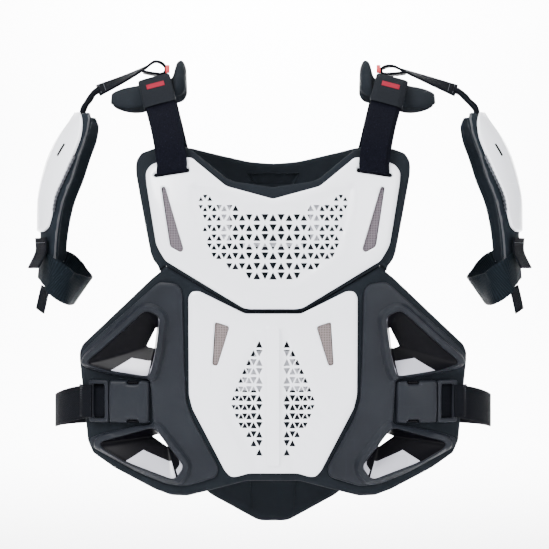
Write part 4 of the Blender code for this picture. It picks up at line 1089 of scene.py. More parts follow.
def make_belly():
    """Belly plate with its spine, shallow diamonds and vents, ribs behind them, and side mesh."""
    outline = whole_loop(BELLY_OUTLINE, BELLY_SIZE, PLATE_CORNER)
    dips = [side_loop(BELLY_DIP, BELLY_SIZE, side, BELLY_DIP_CORNER) for side in SIDES]
    holes = [side_loop(BELLY_SLIT, BELLY_SIZE, side, SLIT_CORNER) for side in SIDES]
    lift = BODY_FOAM_T + GAP
    _, top, tall = BELLY_SIZE
    high, low = (top - share * tall for share in SPINE_SPAN)
    half = SPINE_HALF_W
    crest = softened([(-half, low), (half, low), (half, high), (-half, high)], SPINE_CORNER)

    def relief(flat):
        """The spine's rise, eased to nothing around it, and the diamonds' dip where it isn't."""
        near = np.where(inside(flat, crest), 1.0, eased(1 - distance(flat, crest) / SPINE_SLOPE))
        sunk = sum(dipped(flat, loop, PANEL_DIP, DIP_SLOPE) for loop in dips)
        return SPINE_RISE * near + sunk * (1 - near)

    creases = [crest, grown(crest, SPINE_SLOPE / 2), grown(crest, SPINE_SLOPE)]
    plate(
        "belly_plate_moulded", outline, holes, belly_vents(), BELLY_RIM, lift, relief, creases,
        "belly_plate",
    )
    for side in SIDES:
        make_rib(f"belly_rib_{side}", sided(BELLY_RIB, side), BODY_FOAM_T - RIB_DROP)
    for side in SIDES:
        make_slit_mesh("belly", side, BELLY_SLIT, BELLY_SIZE, lift, BELLY_MESH)


def windows(rows, side):
    """A duct's outline in the shell and the one of its hole, softened alike."""
    outer, inner = [row[:2] for row in rows], [row[2:] for row in rows]
    return (
        side_loop(outer, BODY_SIZE, side, WINDOW_CORNER, 5),
        side_loop(inner, BODY_SIZE, side, DUCT_CORNER, 5),
    )


def make_body_foam():
    """The lower foam, rounded along its edge, open at ducts and vents."""
    low = CHEST_FOAM_UP[-1:] + CHEST_FOAM_LOW
    top = [(x, z - FOAM_SEAM) for x, z in scaled(low, *CHEST_SIZE)][::-1]
    outline = softened(mirrored(top + scaled(BODY_OUTLINE, *BODY_SIZE)), FOAM_CORNER)
    holes = []
    for side in SIDES:
        holes.append(side_loop(BELLY_FIELD, BELLY_SIZE, side, BELLY_FIELD_CORNER))
        for rows in (UPPER_DUCT, LOWER_DUCT):
            holes.append(grown(windows(rows, side)[0], DUCT_LIP + DUCT_ROOM))
    flat, faces = flat_mesh(outline, holes, creased(outline, FOAM_ROUND, FOAM_CREASES), COARSE_CELL)
    drop = rounding(distance(flat, outline), FOAM_ROUND)
    slab(
        "body_foam_padded", "front", flat, faces, FOAM_UNDERSIDE * drop, BODY_FOAM_T - drop, FOAM,
        "black_foam", ["body_foam"], FOAM_FILL,
    )


def make_side(side):
    """Side shell with a raised flat band round each window, and its two ducts.

    The band's rise is full up to BAND_FLAT from a window, and eases to nothing at BAND_W and at
    the shell's own edge. The underside follows the bands by a share, so the wall stays thin.
    """
    outline = side_loop(SHELL_OUTLINE, BODY_SIZE, side, SHELL_CORNER)
    ducts = {"upper": windows(UPPER_DUCT, side), "lower": windows(LOWER_DUCT, side)}
    loops = [outer for outer, _ in ducts.values()]
    lift = BODY_FOAM_T + GAP
    steps = (WINDOW_CREASE, EDGE_ROUND, BAND_FLAT, (BAND_FLAT + BAND_W) / 2, BAND_W)
    creases = creased(outline, EDGE_ROUND, EDGE_CREASES)
    creases += [grown(loop, step) for loop in loops for step in steps]
    flat, faces = flat_mesh(outline, loops, creases, FINE_CELL)
    edge = distance(flat, outline)
    high = lift + SHELL_T - rounding(edge, EDGE_ROUND)
    low = lift + np.zeros(len(flat))
    for loop in loops:
        away = distance(flat, loop)
        band = BAND_RISE * eased((BAND_W - away) / (BAND_W - BAND_FLAT)) * eased(edge / BAND_EASE)
        high += band - rounding(away, EDGE_ROUND)
        low += band * BAND_UNDERSIDE
    low = np.minimum(low, high - LEAST_SHELL)
    slab(
        f"side_shell_moulded_{side}", "front", flat, faces, low, high, DARK, "dark_plastic",
        [f"side_shell_{side}"],
    )
    for name, (outer, inner) in ducts.items():
        make_duct(name, side, outer, inner, lift + BAND_RISE + SHELL_T - DUCT_SINK)


def make_duct(name, side, outer, inner, top):
    """A funnel from a window's edge to its hole, with a second wall outside it.

    Each ring is a mix of the two outlines, and its level falls from the top by a power of its
    share of the way in. Faces on the floor and the inboard wall of the mouth are pale: a painted
    highlight, a colour that stands in for the light falling on them.
    """
    first, last = np.array(grown(outer, -DUCT_GAP)), np.array(inner)
    tip = last[np.argmax(last[:, 1])]
    last = tip + (last - tip) * DUCT_HOLE[name]
    turn = unit(np.array(grown(outer, EDGE_STEP)) - first)
    share = np.r_[0.0, 0.02, np.linspace(0.08, 1, 9)]
    rings = first[None] * (1 - share)[:, None, None] + last[None] * share[:, None, None]
    level = top - (top + DUCT_DROP) * share**DUCT_FALL
    wide = rings + np.stack([np.array(grown(ring, DUCT_T)) - ring for ring in rings])
    both = np.concatenate([rings, wide[::-1]])
    heights = np.concatenate([level, level[::-1] - DUCT_BACK])
    heights = np.broadcast_to(heights[:, None], both.shape[:2])
    points = on_torso(both[..., 0], both[..., 1], "front", heights)
    depth = np.r_[share, np.ones(len(share))][:, None]
    # Painted highlight: the floor faces and the inboard rim near the mouth get the pale material in place
    # of the light that falls on them
    floor = (turn[:, 1] < PALE_FLOOR) & (np.abs(first[:, 0]) < PALE_REACH[name])
    inboard = turn[:, 0] * SIDES[side] < PALE_INBOARD
    near, far = ((depth > 0.01) & (depth < limit) for limit in PALE_DEPTHS)
    build(
        f"duct_{name}_funnel_{side}", points, skin(*both.shape[:2], wrap=True), both, [BLACK, DUCT_HIGHLIGHT_PAINT],
        "gloss_black", [f"duct_{name}_{side}"], index=((far & floor) | (near & inboard)).ravel(),
        angle=55,
    )


def waist(side, start_x, end_x, z, front_lift, back_lift, count):
    """A path round the body's side, from start_x in front to end_x at the back.

    It is the body's superellipse by angle, moved outwards by the lift; its height falls by
    WAIST_FALL over the first part of the way.
    """
    share = float(smooth(TORSO_ROWS, -z / TORSO_H)[0])
    first = math.acos((start_x / TORSO_HALF_W) ** (TORSO_POWER / 2))
    last = -math.acos((end_x / TORSO_HALF_W) ** (TORSO_POWER / 2))
    angle = np.linspace(first, last, count)
    power = 2 / TORSO_POWER
    x = TORSO_HALF_W * np.cos(angle) ** power
    depth = np.where(angle > 0, -TORSO_DEPTH, BACK_DEPTH) * share
    y = depth * np.abs(np.sin(angle)) ** power
    ahead = np.gradient(np.stack([x, y], -1), axis=0)
    out = unit(np.stack([ahead[:, 1], -ahead[:, 0]], -1))
    run = np.linspace(0, 1, count)
    lift = np.interp(run, WAIST_TURNS, (front_lift, front_lift, back_lift, back_lift))[:, None]
    flat = np.stack([x, y], -1) + out * lift
    height = z - WAIST_FALL * eased(run / WAIST_FALL_BY)
    return np.column_stack([SIDES[side] * flat[:, 0], flat[:, 1], height])


def make_socket(side, z, lift):
    """Buckle body with two notches, and the plug's prongs in them.

    Its top falls by the square of the distance from the middle line, eases down to the inner
    end, and has a groove, a bell curve across, near the outer end.
    """
    half = BUCKLE_H / 2
    notch = half - PRONG_NOTCH
    low, high = (SOCKET_IN + share * (SOCKET_OUT - SOCKET_IN) for share in NOTCH_SPAN)
    loop = [
        (SOCKET_IN, z - half), (low, z - half), (low, z - notch), (high, z - notch),
        (high, z - half), (SOCKET_OUT, z - half), (SOCKET_OUT, z + half), (high, z + half),
        (high, z + notch), (low, z + notch), (low, z + half), (SOCKET_IN, z + half),
    ]
    loop = softened(sided(loop, side), BUCKLE_CORNER)
    flat, faces = flat_mesh(loop, [], [grown(loop, -d) for d in SOCKET_CREASES], FINE_CELL)
    across = np.abs(flat[:, 0])
    swell = -SOCKET_CROWN * ((flat[:, 1] - z) / half) ** 2
    swell = swell - SOCKET_FALL * eased((SOCKET_IN + SOCKET_FALL_BY - across) / SOCKET_FALL_BY)
    top = lift + BUCKLE_T + swell - rounding(distance(flat, loop), SOCKET_CREASES[-1])
    groove = np.exp(-(((across - (SOCKET_OUT - GROOVE_IN)) / GROOVE_W) ** 2))
    slab(
        f"buckle_body_{side}", "front", flat, faces, lift, top - GROOVE_DEPTH * groove, DARK,
        "dark_plastic", [f"buckle_socket_{side}"],
    )
    for label, sign in (("top", 1), ("bottom", -1)):
        prong = [
            (low + PRONG_END, z + sign * (notch + PRONG_SPARE)),
            (high - PRONG_END, z + sign * (notch + PRONG_SPARE)),
            (high - PRONG_END, z + sign * (half - PRONG_EDGE)),
            (low + 2 * PRONG_END, z + sign * (half - PRONG_TIP)),
        ]
        prong = softened(sided(prong, side), PRONG_CORNER, 3)
        flat, faces = flat_mesh(prong, [], [grown(prong, -PRONG_ROUND)], FINE_CELL)
        top = lift + BUCKLE_T * PRONG_RISE - rounding(distance(flat, prong), PRONG_ROUND)
        slab(
            f"buckle_prong_{label}_{side}", "front", flat, faces, lift + PRONG_LIFT, top, BLACK,
            "gloss_black",
        )


def make_buckle(side):
    """Side-release buckle: socket, ladder frame, waist strap, and its folded, stitched end."""
    z = BODY_SIZE[1] - BUCKLE_DOWN * BODY_SIZE[2]
    half = BUCKLE_H / 2
    lift = BODY_FOAM_T + GAP
    make_socket(side, z, lift)
    inner, outer = SOCKET_OUT + GAP, SOCKET_OUT + GAP + FRAME_W
    frame_loop = [(inner, z - half), (outer, z - half), (outer, z + half), (inner, z + half)]
    frame_lift = lift + WEBBING_T + 3 * GAP
    bar = softened(grown(sided(frame_loop, side), -FRAME_BAR), BAR_CORNER, 3)
    frame_loop = softened(sided(frame_loop, side), BUCKLE_CORNER)
    creases = [grown(frame_loop, -d) for d in FRAME_CREASES] + [grown(bar, BAR_CORNER)]
    flat, faces = flat_mesh(frame_loop, [bar], creases, FINE_CELL)
    edge = np.minimum(distance(flat, frame_loop), distance(flat, bar))
    top = frame_lift + FRAME_T - rounding(edge, FRAME_CREASES[-1])
    slab(
        f"buckle_ladder_{side}", "front", flat, faces, frame_lift, top, DARK, "dark_plastic",
        [f"buckle_frame_{side}"],
    )
    front_lift = lift + GAP + WEBBING_T / 2
    back_lift = BACK_FOAM_T + BACK_PLATE_T + 3 * GAP + WEBBING_T / 2
    path = waist(side, inner + FRAME_BAR / 2, SIDE_STRAP_END, z, front_lift, back_lift, 150)
    strap(
        f"waist_webbing_{side}", path, (0, 0, 1), SIDE_STRAP_W, WEBBING_T, WEBBING, "black_webbing",
        [f"side_strap_{side}"],
    )
    tab_in = outer - FRAME_BAR
    tab_lift = frame_lift + FRAME_T + GAP + WEBBING_T / 2
    share = np.linspace(0, 1, TAB_COUNT)
    lifts = tab_lift - TAB_SINK - TAB_FALL * eased((share - 0.6) / 0.4)
    across = SIDES[side] * (tab_in + SIDE_TAB_W * share)
    path = on_torso(across, np.full(TAB_COUNT, z), "front", lifts)
    strap(
        f"folded_tab_{side}", path, (0, 0, 1), SIDE_STRAP_W - TAB_NARROWER, WEBBING_T, WEBBING,
        "black_webbing", [f"side_tab_{side}"],
    )
    rows = np.linspace(-0.44, 0.44, TAB_STITCHES) * SIDE_STRAP_W
    for k, (place, sink) in enumerate(TAB_STITCH_ROWS):
        x = np.full(TAB_STITCHES, SIDES[side] * (tab_in + place))
        centres = on_torso(x, z + rows, "front", np.full(TAB_STITCHES, tab_lift + WEBBING_T / 2 - sink))
        ahead = np.tile([0.0, 0.0, 1.0], (TAB_STITCHES, 1))
        stitches(f"tab_stitches_{k}_{side}", centres, ahead, TAB_STITCH_L)


def make_back():
    """Back panel: foam with its recess and seams inside, a plain ribbed plate outside."""
    outline = softened(mirrored(BACK_OUTLINE), BACK_CORNER)
    recess = softened(mirrored(BACK_RECESS), RECESS_SLOPE, 3)
    creases = creased(outline, FOAM_ROUND, FOAM_CREASES) + [recess, grown(recess, -RECESS_SLOPE)]
    flat, faces = flat_mesh(outline, [], creases, COARSE_CELL)
    drop = rounding(distance(flat, outline), FOAM_ROUND)
    low = 0.7 * drop - dipped(flat, recess, RECESS_DEPTH, RECESS_SLOPE)
    slab(
        "back_foam_padded", "back", flat, faces[:, ::-1], low, BACK_FOAM_T - drop, FOAM, "black_foam",
        ["back_foam"], FOAM_FILL,
    )
    line = np.array(divided(recess + recess[:1], 0.002))
    path = on_torso(line[:, 0], line[:, 1], "back", np.full(len(line), -0.0003))
    tube("back_recess_line", path, 0.0007, FOAM, "black_foam")
    seam = np.linspace(0, 1, 30)
    for side, sign in SIDES.items():
        (x, x_turn), (z, z_turn) = BACK_SEAM
        path = on_torso(sign * (x + x_turn * seam), z + z_turn * seam, "back", np.full(30, -0.0004))
        tube(f"back_seam_{side}", path, 0.0006, FOAM, "black_foam")
    smaller = grown(outline, -BACK_BORDER)
    ribs = [
        softened(mirrored([(0.0, z), (w, z), (w - 0.012, z - BACK_RIB_H), (0.0, z - BACK_RIB_H)]), 0.005)
        for z, w in BACK_RIBS
    ]
    creases = creased(smaller, EDGE_ROUND, EDGE_CREASES)
    creases += [loop for rib in ribs for loop in (rib, grown(rib, -BACK_RIB_SLOPE))]
    flat, faces = flat_mesh(smaller, [], creases, FINE_CELL * 1.4)
    high = BACK_FOAM_T + GAP + BACK_PLATE_T - rounding(distance(flat, smaller), EDGE_ROUND)
    high += sum(dipped(flat, rib, BACK_RIB_DEPTH, BACK_RIB_SLOPE) for rib in ribs)
    slab(
        "back_plate_moulded", "back", flat, faces[:, ::-1], BACK_FOAM_T + GAP, high, DARK,
        "dark_plastic", ["back_plate"],
    )


# Shoulders

def pad_top(x, y):
    """Height of the shoulder pad's top at a place; x is its distance from the middle.

    It is the ridge's height at x, read from PAD_ROWS, less PAD_DROP by the square of y's share
    of the half depth there.
    """
    share = (np.asarray(x, float) - PAD_INNER_X) / PAD_LENGTH
    rise, _, depth = np.moveaxis(smooth(PAD_ROWS, share), -1, 0)
    return rise * PAD_RISE - PAD_DROP * (np.asarray(y) / (PAD_HALF_DEPTH * depth)) ** 2 * depth


def crown():
    """Where the straps' middle line crosses the top of the shoulder, at +X."""
    z = float(pad_top(CROWN_X, 0.0)) + STRAP_GAP + WEBBING_T / 2
    return np.array([CROWN_X, 0.0, z])


def leaning(side, share, x, z, face):
    """Width directions along a strap: flat on the panel at its foot, then square to the front."""
    angle = SLOT_LEAN + (CROWN_LEAN - SLOT_LEAN) * share
    slope = (torso_y(x + STRAP_W / 2, z, face) - torso_y(x - STRAP_W / 2, z, face)) / STRAP_W
    flat = slope * np.clip(1 - (share - 0.2) / 0.5, 0, 1)
    return np.stack([np.cos(angle) * SIDES[side], flat, -np.sin(angle)], -1)


def strap_path(side):
    """Middle line of a chest strap: out of its slot, up the plate and back to the crown."""
    z = CHEST_SIZE[1] - SLOT_DROP
    face = CHEST_FOAM_T + GAP + CHEST_RIM + PLATE_T
    over = face + STRAP_GAP + WEBBING_T / 2
    entry = ((0.0, CHEST_FOAM_T + 2 * GAP), (0.0006, face), (0.0032, over), (0.0100, over))
    points = [on_torso(SLOT_X, z + rise, "front", lift) for rise, lift in entry]
    foot, top = points[-1], crown() - [0, GAP, 0]
    rise = along([foot + (top - foot) * np.array(row) for row in STRAP_ROWS], 18)
    return np.concatenate([points, rise[1:]]) * [SIDES[side], 1, 1]


def finer(path, lean, count):
    """A path and its width directions, resampled together."""
    both = np.concatenate([path, lean], 1)
    share = np.linspace(0, 1, len(path))
    fine = smooth(np.column_stack([share, both]), np.linspace(0, 1, count))
    return fine[:, :3], fine[:, 3:]


def make_shoulder(side):
    """Straps over one shoulder, sleeve with a plain bar, pad and pull tab."""
    path = strap_path(side)
    lean = leaning(side, np.linspace(0, 1, len(path)), SLOT_X, CHEST_SIZE[1] - SLOT_DROP, "front")
    fine, wide = finer(path, lean, STRAP_COUNT)
    strap(
        f"chest_strap_pile_{side}", fine, wide, STRAP_W, WEBBING_T + PILE_RISE, PILE, "black_webbing",
        [f"chest_strap_{side}"],
    )
    make_back_strap(side)
    make_sleeve(side, fine, across_of(fine, wide))
    make_pad(side)
    make_pull_tab(side, path)


def make_back_strap(side):
    """The strap from the crown down to the back plate, with a row of stitches near its end."""
    top = crown() + [0, GAP, 0]
    lift = BACK_FOAM_T + BACK_PLATE_T + 2 * GAP + WEBBING_T / 2 + STRAP_GAP
    end = on_torso(BACK_STRAP_X, BACK_STRAP_Z, "back", lift)
    rear = along([top + (end - top) * np.array(row) for row in BACK_STRAP_ROWS], 16)
    lean = leaning(side, np.linspace(0, 1, 16), BACK_STRAP_X, BACK_STRAP_Z, "back")[::-1]
    fine, wide = finer(rear * [SIDES[side], 1, 1], lean, 110)
    strap(
        f"back_strap_pile_{side}", fine, wide, STRAP_W, WEBBING_T + BACK_PILE_RISE, PILE,
        "black_webbing", [f"back_strap_{side}"],
    )
    across = across_of(fine, wide)
    normal = np.cross(directions(fine), across)[BACK_STITCH_AT]
    across = across[BACK_STITCH_AT]
    rows = np.linspace(-0.42, 0.42, 12)[:, None] * STRAP_W
    raised = normal * np.sign(normal[1]) * (WEBBING_T / 2 + 0.0003)
    centres = fine[BACK_STITCH_AT] + across * rows + raised
    stitches(f"back_strap_stitches_{side}", centres, np.tile(across, (12, 1)), STITCH_L)


def make_sleeve(side, fine, across):
    """A knit tube round part of the strap, and its plain bar.

    Both walls are the strap's profile grown on all sides, and swell at each mouth by a bell curve
    along the tube.
    """
    first, last = (round(share * (STRAP_COUNT - 1)) for share in SLEEVE_SPAN)
    part, wide = fine[first:last + 1], across[first:last + 1]
    deep = np.cross(directions(part), wide)
    run = np.linspace(0, 1, len(part))
    lip = SLEEVE_LIP * (np.exp(-((run / LIP_SPAN) ** 2)) + np.exp(-(((1 - run) / LIP_SPAN) ** 2)))
    stretch = 1 + lip[:, None, None] / SLEEVE_T
    rings = []
    for spare in (SLEEVE_SPARE, SLEEVE_FIT):
        profile = strap_profile(STRAP_W + 2 * spare, WEBBING_T + 2 * spare, SLEEVE_CROWN)
        level = deep[:, None] * profile[None, :, 1:] * stretch
        rings.append(part[:, None] + wide[:, None] * profile[None, :, :1] + level)
    both = np.concatenate([rings[0], rings[1][::-1]])
    run = lengths(part)
    uv = uv_grid(lengths(strap_profile(STRAP_W, WEBBING_T)), np.concatenate([run, run[::-1]]))
    build(
        f"sleeve_knit_{side}", both, skin(*both.shape[:2], wrap=True), uv, [SLEEVE], "dark_plastic",
        [f"strap_sleeve_{side}"],
    )
    front = -1.0 if deep[:, 1].mean() > 0 else 1.0
    middle = len(part) * 6 // 10
    span = slice(middle - 3, middle + 5)
    bar = part[span] + deep[span] * front * (WEBBING_T / 2 + SLEEVE_SPARE + 0.0005)
    strap(f"sleeve_bar_{side}", bar, wide[span], BAR_W, BAR_T, CRIMSON, "red_webbing")


def make_pull_tab(side, path):
    """A folded loop of red tape that stands beside the strap: an ellipse, open at its foot."""
    y = HANGER_Y - HANGER_W / 2 - WEBBING_T
    ridge = float(np.interp(y, path[:, 1], path[:, 2]))
    low = ridge + (CROWN_X - PULL_TAB_X) * math.tan(CROWN_LEAN) + WEBBING_T / 2 + GAP
    turn = np.linspace(-0.5, 1.5, 40) * math.pi
    half_y, half_z = PULL_LOOP
    loop = np.stack([
        np.full(40, SIDES[side] * PULL_TAB_X), y + half_y * np.cos(turn),
        low + PULL_LOOP_UP + half_z * np.sin(turn),
    ], 1)
    strap(
        f"red_pull_loop_{side}", loop[:-1], (1, 0, 0), PULL_TAPE[0], PULL_TAPE[1], RED, "red_webbing",
        [f"pull_tab_{side}"],
    )


def make_pad(side):
    """Shoulder pad: rounded sections lofted from the inner end outwards, pinched by a seam.

    A section is a squared-off ellipse under pad_top, whose thickness is the table's wall times a
    closing that falls to the ends as a quarter circle does; the pinch is a bell curve across.
    """
    share = np.linspace(0, 1, 60)
    wall, depth = np.moveaxis(smooth([(row[0], *row[2:]) for row in PAD_ROWS], share), -1, 0)
    turn = np.linspace(0, 2 * math.pi, 41)[:-1]
    half = PAD_HALF_DEPTH * depth
    closing = np.sqrt(np.clip(1 - (np.clip((share - 0.93) / 0.08, 0, 1)) ** 2, 0.05, 1))
    closing *= np.sqrt(np.clip(1 - np.clip((0.05 - share) / 0.06, 0, 1) ** 2, 0.05, 1))
    y = half[:, None] * np.cos(turn) * (0.9 + 0.1 * closing[:, None])
    x = PAD_INNER_X + share[:, None] * PAD_LENGTH + 0 * y
    thick = (wall * closing)[:, None]
    body = np.sign(np.sin(turn)) * np.abs(np.sin(turn)) ** PAD_SQUARENESS
    off_seam = np.abs(y) - PAD_SEAM_AT * half[:, None]
    pinch = 1 - PAD_PINCH * np.exp(-((off_seam / PAD_SEAM_W) ** 2))
    z = pad_top(x, y) - wall[:, None] / 2 + thick / 2 * body * pinch
    rings = np.stack([SIDES[side] * x, y, z], -1)
    uv = np.stack([np.broadcast_to(np.linspace(0, 0.15, 40), y.shape), x], -1)
    loft(
        f"shoulder_pad_padded_{side}", rings, uv, FOAM, "black_foam", [f"shoulder_pad_{side}"],
        PAD_FILL, angle=60,
    )


# Arms

def arm_surface(side, share, angle):
    """Outside of the upper arm: an ellipse across, whose outermost line follows ARM_ROWS."""
    share, angle = np.broadcast_arrays(np.asarray(share, float), np.radians(angle))
    bulge = smooth([row[:2] for row in ARM_ROWS], share)[..., 0]
    outer = ARM_OUT[side] - ARM_BULGE * (1 - bulge)
    x = SIDES[side] * (outer - ARM_RX * (1 - np.cos(angle)))
    return np.stack([x, ARM_RY * np.sin(angle), ARM_TOP - share * ARM_H], -1)


def arm_points(side, share, angle, lift):
    """Points that stand lift outside the arm's surface; a negative angle is in front."""
    share, angle = np.broadcast_arrays(np.asarray(share, float), np.asarray(angle, float))
    step = 1e-3
    down = arm_surface(side, share + step, angle) - arm_surface(side, share - step, angle)
    turn = arm_surface(side, share, angle + 0.1) - arm_surface(side, share, angle - 0.1)
    normal = unit(np.cross(turn, down) * -SIDES[side])
    return arm_surface(side, share, angle) + normal * np.asarray(lift)[..., None]


def arm_half(column, share):
    """Half angle of the shell or the pad at each height."""
    return smooth([(row[0], row[column]) for row in ARM_ROWS], share)


def arm_slab(name, side, column, last, low, high, look, slot, node, fill=None, ridge=0.0, soft=0.0):
    """A curved plate on the arm: both skins over share of height and angle.

    Its half angle at each height comes from ARM_ROWS, drawn in at the ends, and the skins close
    by a quarter round. ridge raises two bell-shaped bands, and soft is the height of ripples.
    """
    rows, columns = 70, 56
    s = np.linspace(0, 1, rows)
    share = (s * last)[:, None]
    half = arm_half(column, share[:, 0])
    t = np.linspace(-1, 1, columns)
    spread = np.sign(t) * (1 - (1 - np.abs(t)) ** 1.25)
    near_top, near_end = np.clip((0.05 - s) / 0.05, 0, 1), np.clip((s - 0.95) / 0.05, 0, 1)
    trim = 1 - 0.14 * near_top ** 2 - 0.20 * near_end ** 2
    angle = half * spread * trim[:, None]
    reach = ARM_RY * np.radians(half) * (1 - np.abs(spread))
    ends = np.minimum(s, 1 - s)[:, None] * last * ARM_H
    edge = np.minimum(reach, ends)
    radius = min((high - low) * 0.9, ARM_ROUND)
    top = high - rounding(edge, radius) * (1.0 if fill is None else 0.95)
    if ridge:
        band = np.exp(-(((np.abs(spread) - RIDGE_AT) / RIDGE_W) ** 2))
        top = top + ridge * (band * eased((0.9 - s) / 0.2)[:, None])
    if soft:
        top = top + soft * np.sin(share * 60.0) * np.cos(angle * 0.09)
    bottom = low + rounding(edge, radius) * (0.0 if fill is None else 0.5)
    bottom = np.minimum(bottom, top - LEAST_ARM)
    outer = arm_points(side, share, angle, top)
    inner = arm_points(side, share, angle, bottom)
    both = np.concatenate([outer.reshape(-1, 3), inner.reshape(-1, 3)])
    size = rows * columns
    i, j = np.meshgrid(np.arange(rows - 1), np.arange(columns - 1), indexing="ij")
    a = (i * columns + j).ravel()
    front = np.stack([a, a + 1, a + columns + 1, a + columns], 1)
    ring = np.concatenate([
        np.arange(columns - 1), np.arange(rows - 1) * columns + columns - 1,
        size - 1 - np.arange(columns - 1), (rows - 1 - np.arange(rows - 1)) * columns,
    ])
    after = np.roll(ring, -1)
    walls = np.stack([after, ring, ring + size, after + size], 1)
    faces = np.concatenate([front, front[:, ::-1] + size, walls])
    flat = np.stack([ARM_RY * np.radians(angle), share * ARM_H + 0 * angle], -1).reshape(-1, 2)
    build(name, both, faces, np.concatenate([flat, flat]), [look], slot, [node], fill, angle=50)


def make_arm(side):
    """One arm guard: shell, backing and its trim, the loop round the arm and what it hangs from."""
    arm_slab(
        f"arm_shell_moulded_{side}", side, SHELL_COLUMN, ARM_SHELL_END, ARM_GAP, ARM_GAP + ARM_SHELL_T,
        WHITE, "white_plastic", f"arm_shell_{side}", ridge=RIDGE_RISE,
    )
    arm_slab(
        f"arm_pad_padded_{side}", side, PAD_COLUMN, 1.0, -ARM_PAD_T, PAD_FACE, FLAP, "black_foam",
        f"arm_pad_{side}", fill=ARM_FILL, soft=PAD_RIPPLE,
    )
    make_arm_trim(side)
    make_bicep_loop(side)
    make_hanger(side)


def make_arm_trim(side):
    """Piping down both edges of the backing, a zigzag strip in front, and the shell's slot."""
    share = np.linspace(0.02, 0.985, 120)
    edge = arm_half(PAD_COLUMN, share)[:, 0]
    for label, sign in (("front", -1), ("back", 1)):
        path = arm_points(side, share, sign * (edge - 1.5), np.full(120, -PIPING_SINK))
        tube(f"pad_piping_{label}_{side}", path, PIPING_R, PIPING, "black_foam")
    share = np.linspace(0.30, 0.66, 90)
    edge = arm_half(SHELL_COLUMN, share)[:, 0]
    zigzag = 1.6 * np.abs(((share * 38) % 1) * 2 - 1)
    path = arm_points(side, share, -(edge + 0.8 + zigzag), np.full(90, ARM_GAP + 0.0006))
    tube(f"zigzag_strip_{side}", path, ZIGZAG_R, THREAD, "black_webbing")
    t = np.linspace(0, 1, 24)
    lift = np.full(24, ARM_GAP + ARM_SHELL_T + 0.0003)
    path = arm_points(side, 0.225 + 0.075 * t, -48 + 3 * t, lift)
    wanted = arm_points(side, 0.26, -40.0, np.zeros(())) - arm_points(side, 0.26, -50.0, np.zeros(()))
    strap(f"shell_slot_{side}", path, wanted, SHELL_SLOT[0], SHELL_SLOT[1], BLACK, "gloss_black")


def make_bicep_loop(side):
    """Elastic loop round the arm: along the backing's foot, then free round the inner side.

    The free side's width leans outwards by a power of the sine of its share. The hook tab lies on
    it in front, with its stitches, and its loose end hangs below.
    """
    lift = BICEP_GAP + BICEP_T / 2
    front = [arm_points(side, down, -angle, lift) for angle, down in BICEP_FRONT]
    back = [arm_points(side, down, angle, lift) for angle, down in BICEP_BACK]
    free = [
        ((ARM_OUT[side] - BICEP_REACH * across) * SIDES[side], ARM_RY * deep, ARM_TOP - ARM_H * down)
        for across, deep, down in BICEP_FREE
    ]
    loop = along(front + free + back, BICEP_COUNT)
    away = unit((loop - loop.mean(0)) * [1, 1, 0])
    flare = BICEP_FLARE * np.sin(np.linspace(0, math.pi, len(loop))) ** FLARE_POWER
    wanted = away * flare[:, None] + [0, 0, 1]
    strap(
        f"bicep_elastic_{side}", loop, wanted, BICEP_W, BICEP_T, ELASTIC, "black_webbing",
        [f"bicep_strap_{side}"],
    )
    outer = BICEP_GAP + GAP / 2 + BICEP_T * 1.5
    hook = along([arm_points(side, down, TAB_TURN, outer + rise) for down, rise in BICEP_TAB_ROWS], 40)
    turn = math.radians(TAB_TURN)
    flat = np.array([-SIDES[side] * ARM_RX * math.sin(turn), ARM_RY * math.cos(turn), 0.0])
    strap(
        f"bicep_hook_tab_{side}", hook, flat, BICEP_TAB_W, BICEP_T, WEBBING, "black_webbing",
        [f"bicep_tab_{side}"],
    )
    flat /= np.linalg.norm(flat)
    away = np.array([SIDES[side] * flat[1], -SIDES[side] * flat[0], 0.0])
    rows = np.linspace(-0.42, 0.42, 11)[:, None]
    centres = hook[6] + flat * rows * BICEP_TAB_W + away * (BICEP_T / 2 + 0.0002)
    stitches(f"hook_stitches_{side}", centres, np.tile(flat, (11, 1)), STITCH_L)
    at = round(TAIL_SHARE * (BICEP_COUNT - 1))
    up = across_of(loop, wanted)[at]
    low = loop[at] - up * (BICEP_W / 2 + TAIL_GAP)
    tail = [
        low - up * BICEP_TAIL_L * share + [0, 0, -BICEP_TAIL_L * drop]
        for share, drop in BICEP_TAIL_ROWS
    ]
    strap(
        f"bicep_tail_end_{side}", along(tail, 30), directions(loop)[at], BICEP_TAIL_W, BICEP_T,
        WEBBING, "black_webbing", [f"bicep_tail_{side}"],
    )


def make_hanger(side):
    """Webbing loop over the pad, with two rows of stitches, and the link to the arm guard."""
    top = crown()
    reach = HANGER_OUT[side] - HANGER_FROM
    rests_at = HANGER_FROM + HANGER_ROWS[6][0] * reach
    seat = top[2] + (CROWN_X - rests_at) * math.tan(CROWN_LEAN) + WEBBING_T + GAP / 2
    rise, drop = HANGER_PEAK[side] - seat, HANGER_END_Z - seat
    points = [
        (SIDES[side] * (HANGER_FROM + out * reach), HANGER_Y, seat + rise * up + drop * down)
        for out, up, down in HANGER_ROWS
    ]
    coarse = along(points, 24)
    path = along(coarse, 150)
    tilt = HANGER_TILT * np.clip(1 - np.linspace(0, 1, 150) / TILT_SPAN, 0, 1)
    wanted = np.stack([0 * tilt, np.cos(tilt), np.sin(tilt)], -1)
    strap(
        f"hanger_webbing_{side}", path, wanted, HANGER_W, WEBBING_T + 0.0010, WEBBING,
        "black_webbing", [f"arm_hanger_{side}"],
    )
    wide = across_of(path, wanted)
    face = np.cross(directions(path), wide)
    face = face * np.sign(face[5, 2])
    rows = np.linspace(-0.40, 0.40, 9)[:, None]
    for k, at in enumerate(HANGER_STITCHES):
        centres = path[at] + wide[at] * rows * HANGER_W + face[at] * (WEBBING_T / 2 + 0.0007)
        stitches(f"hanger_stitches_{k}_{side}", centres, np.tile(wide[at], (9, 1)), STITCH_L)
    make_link(side, coarse)


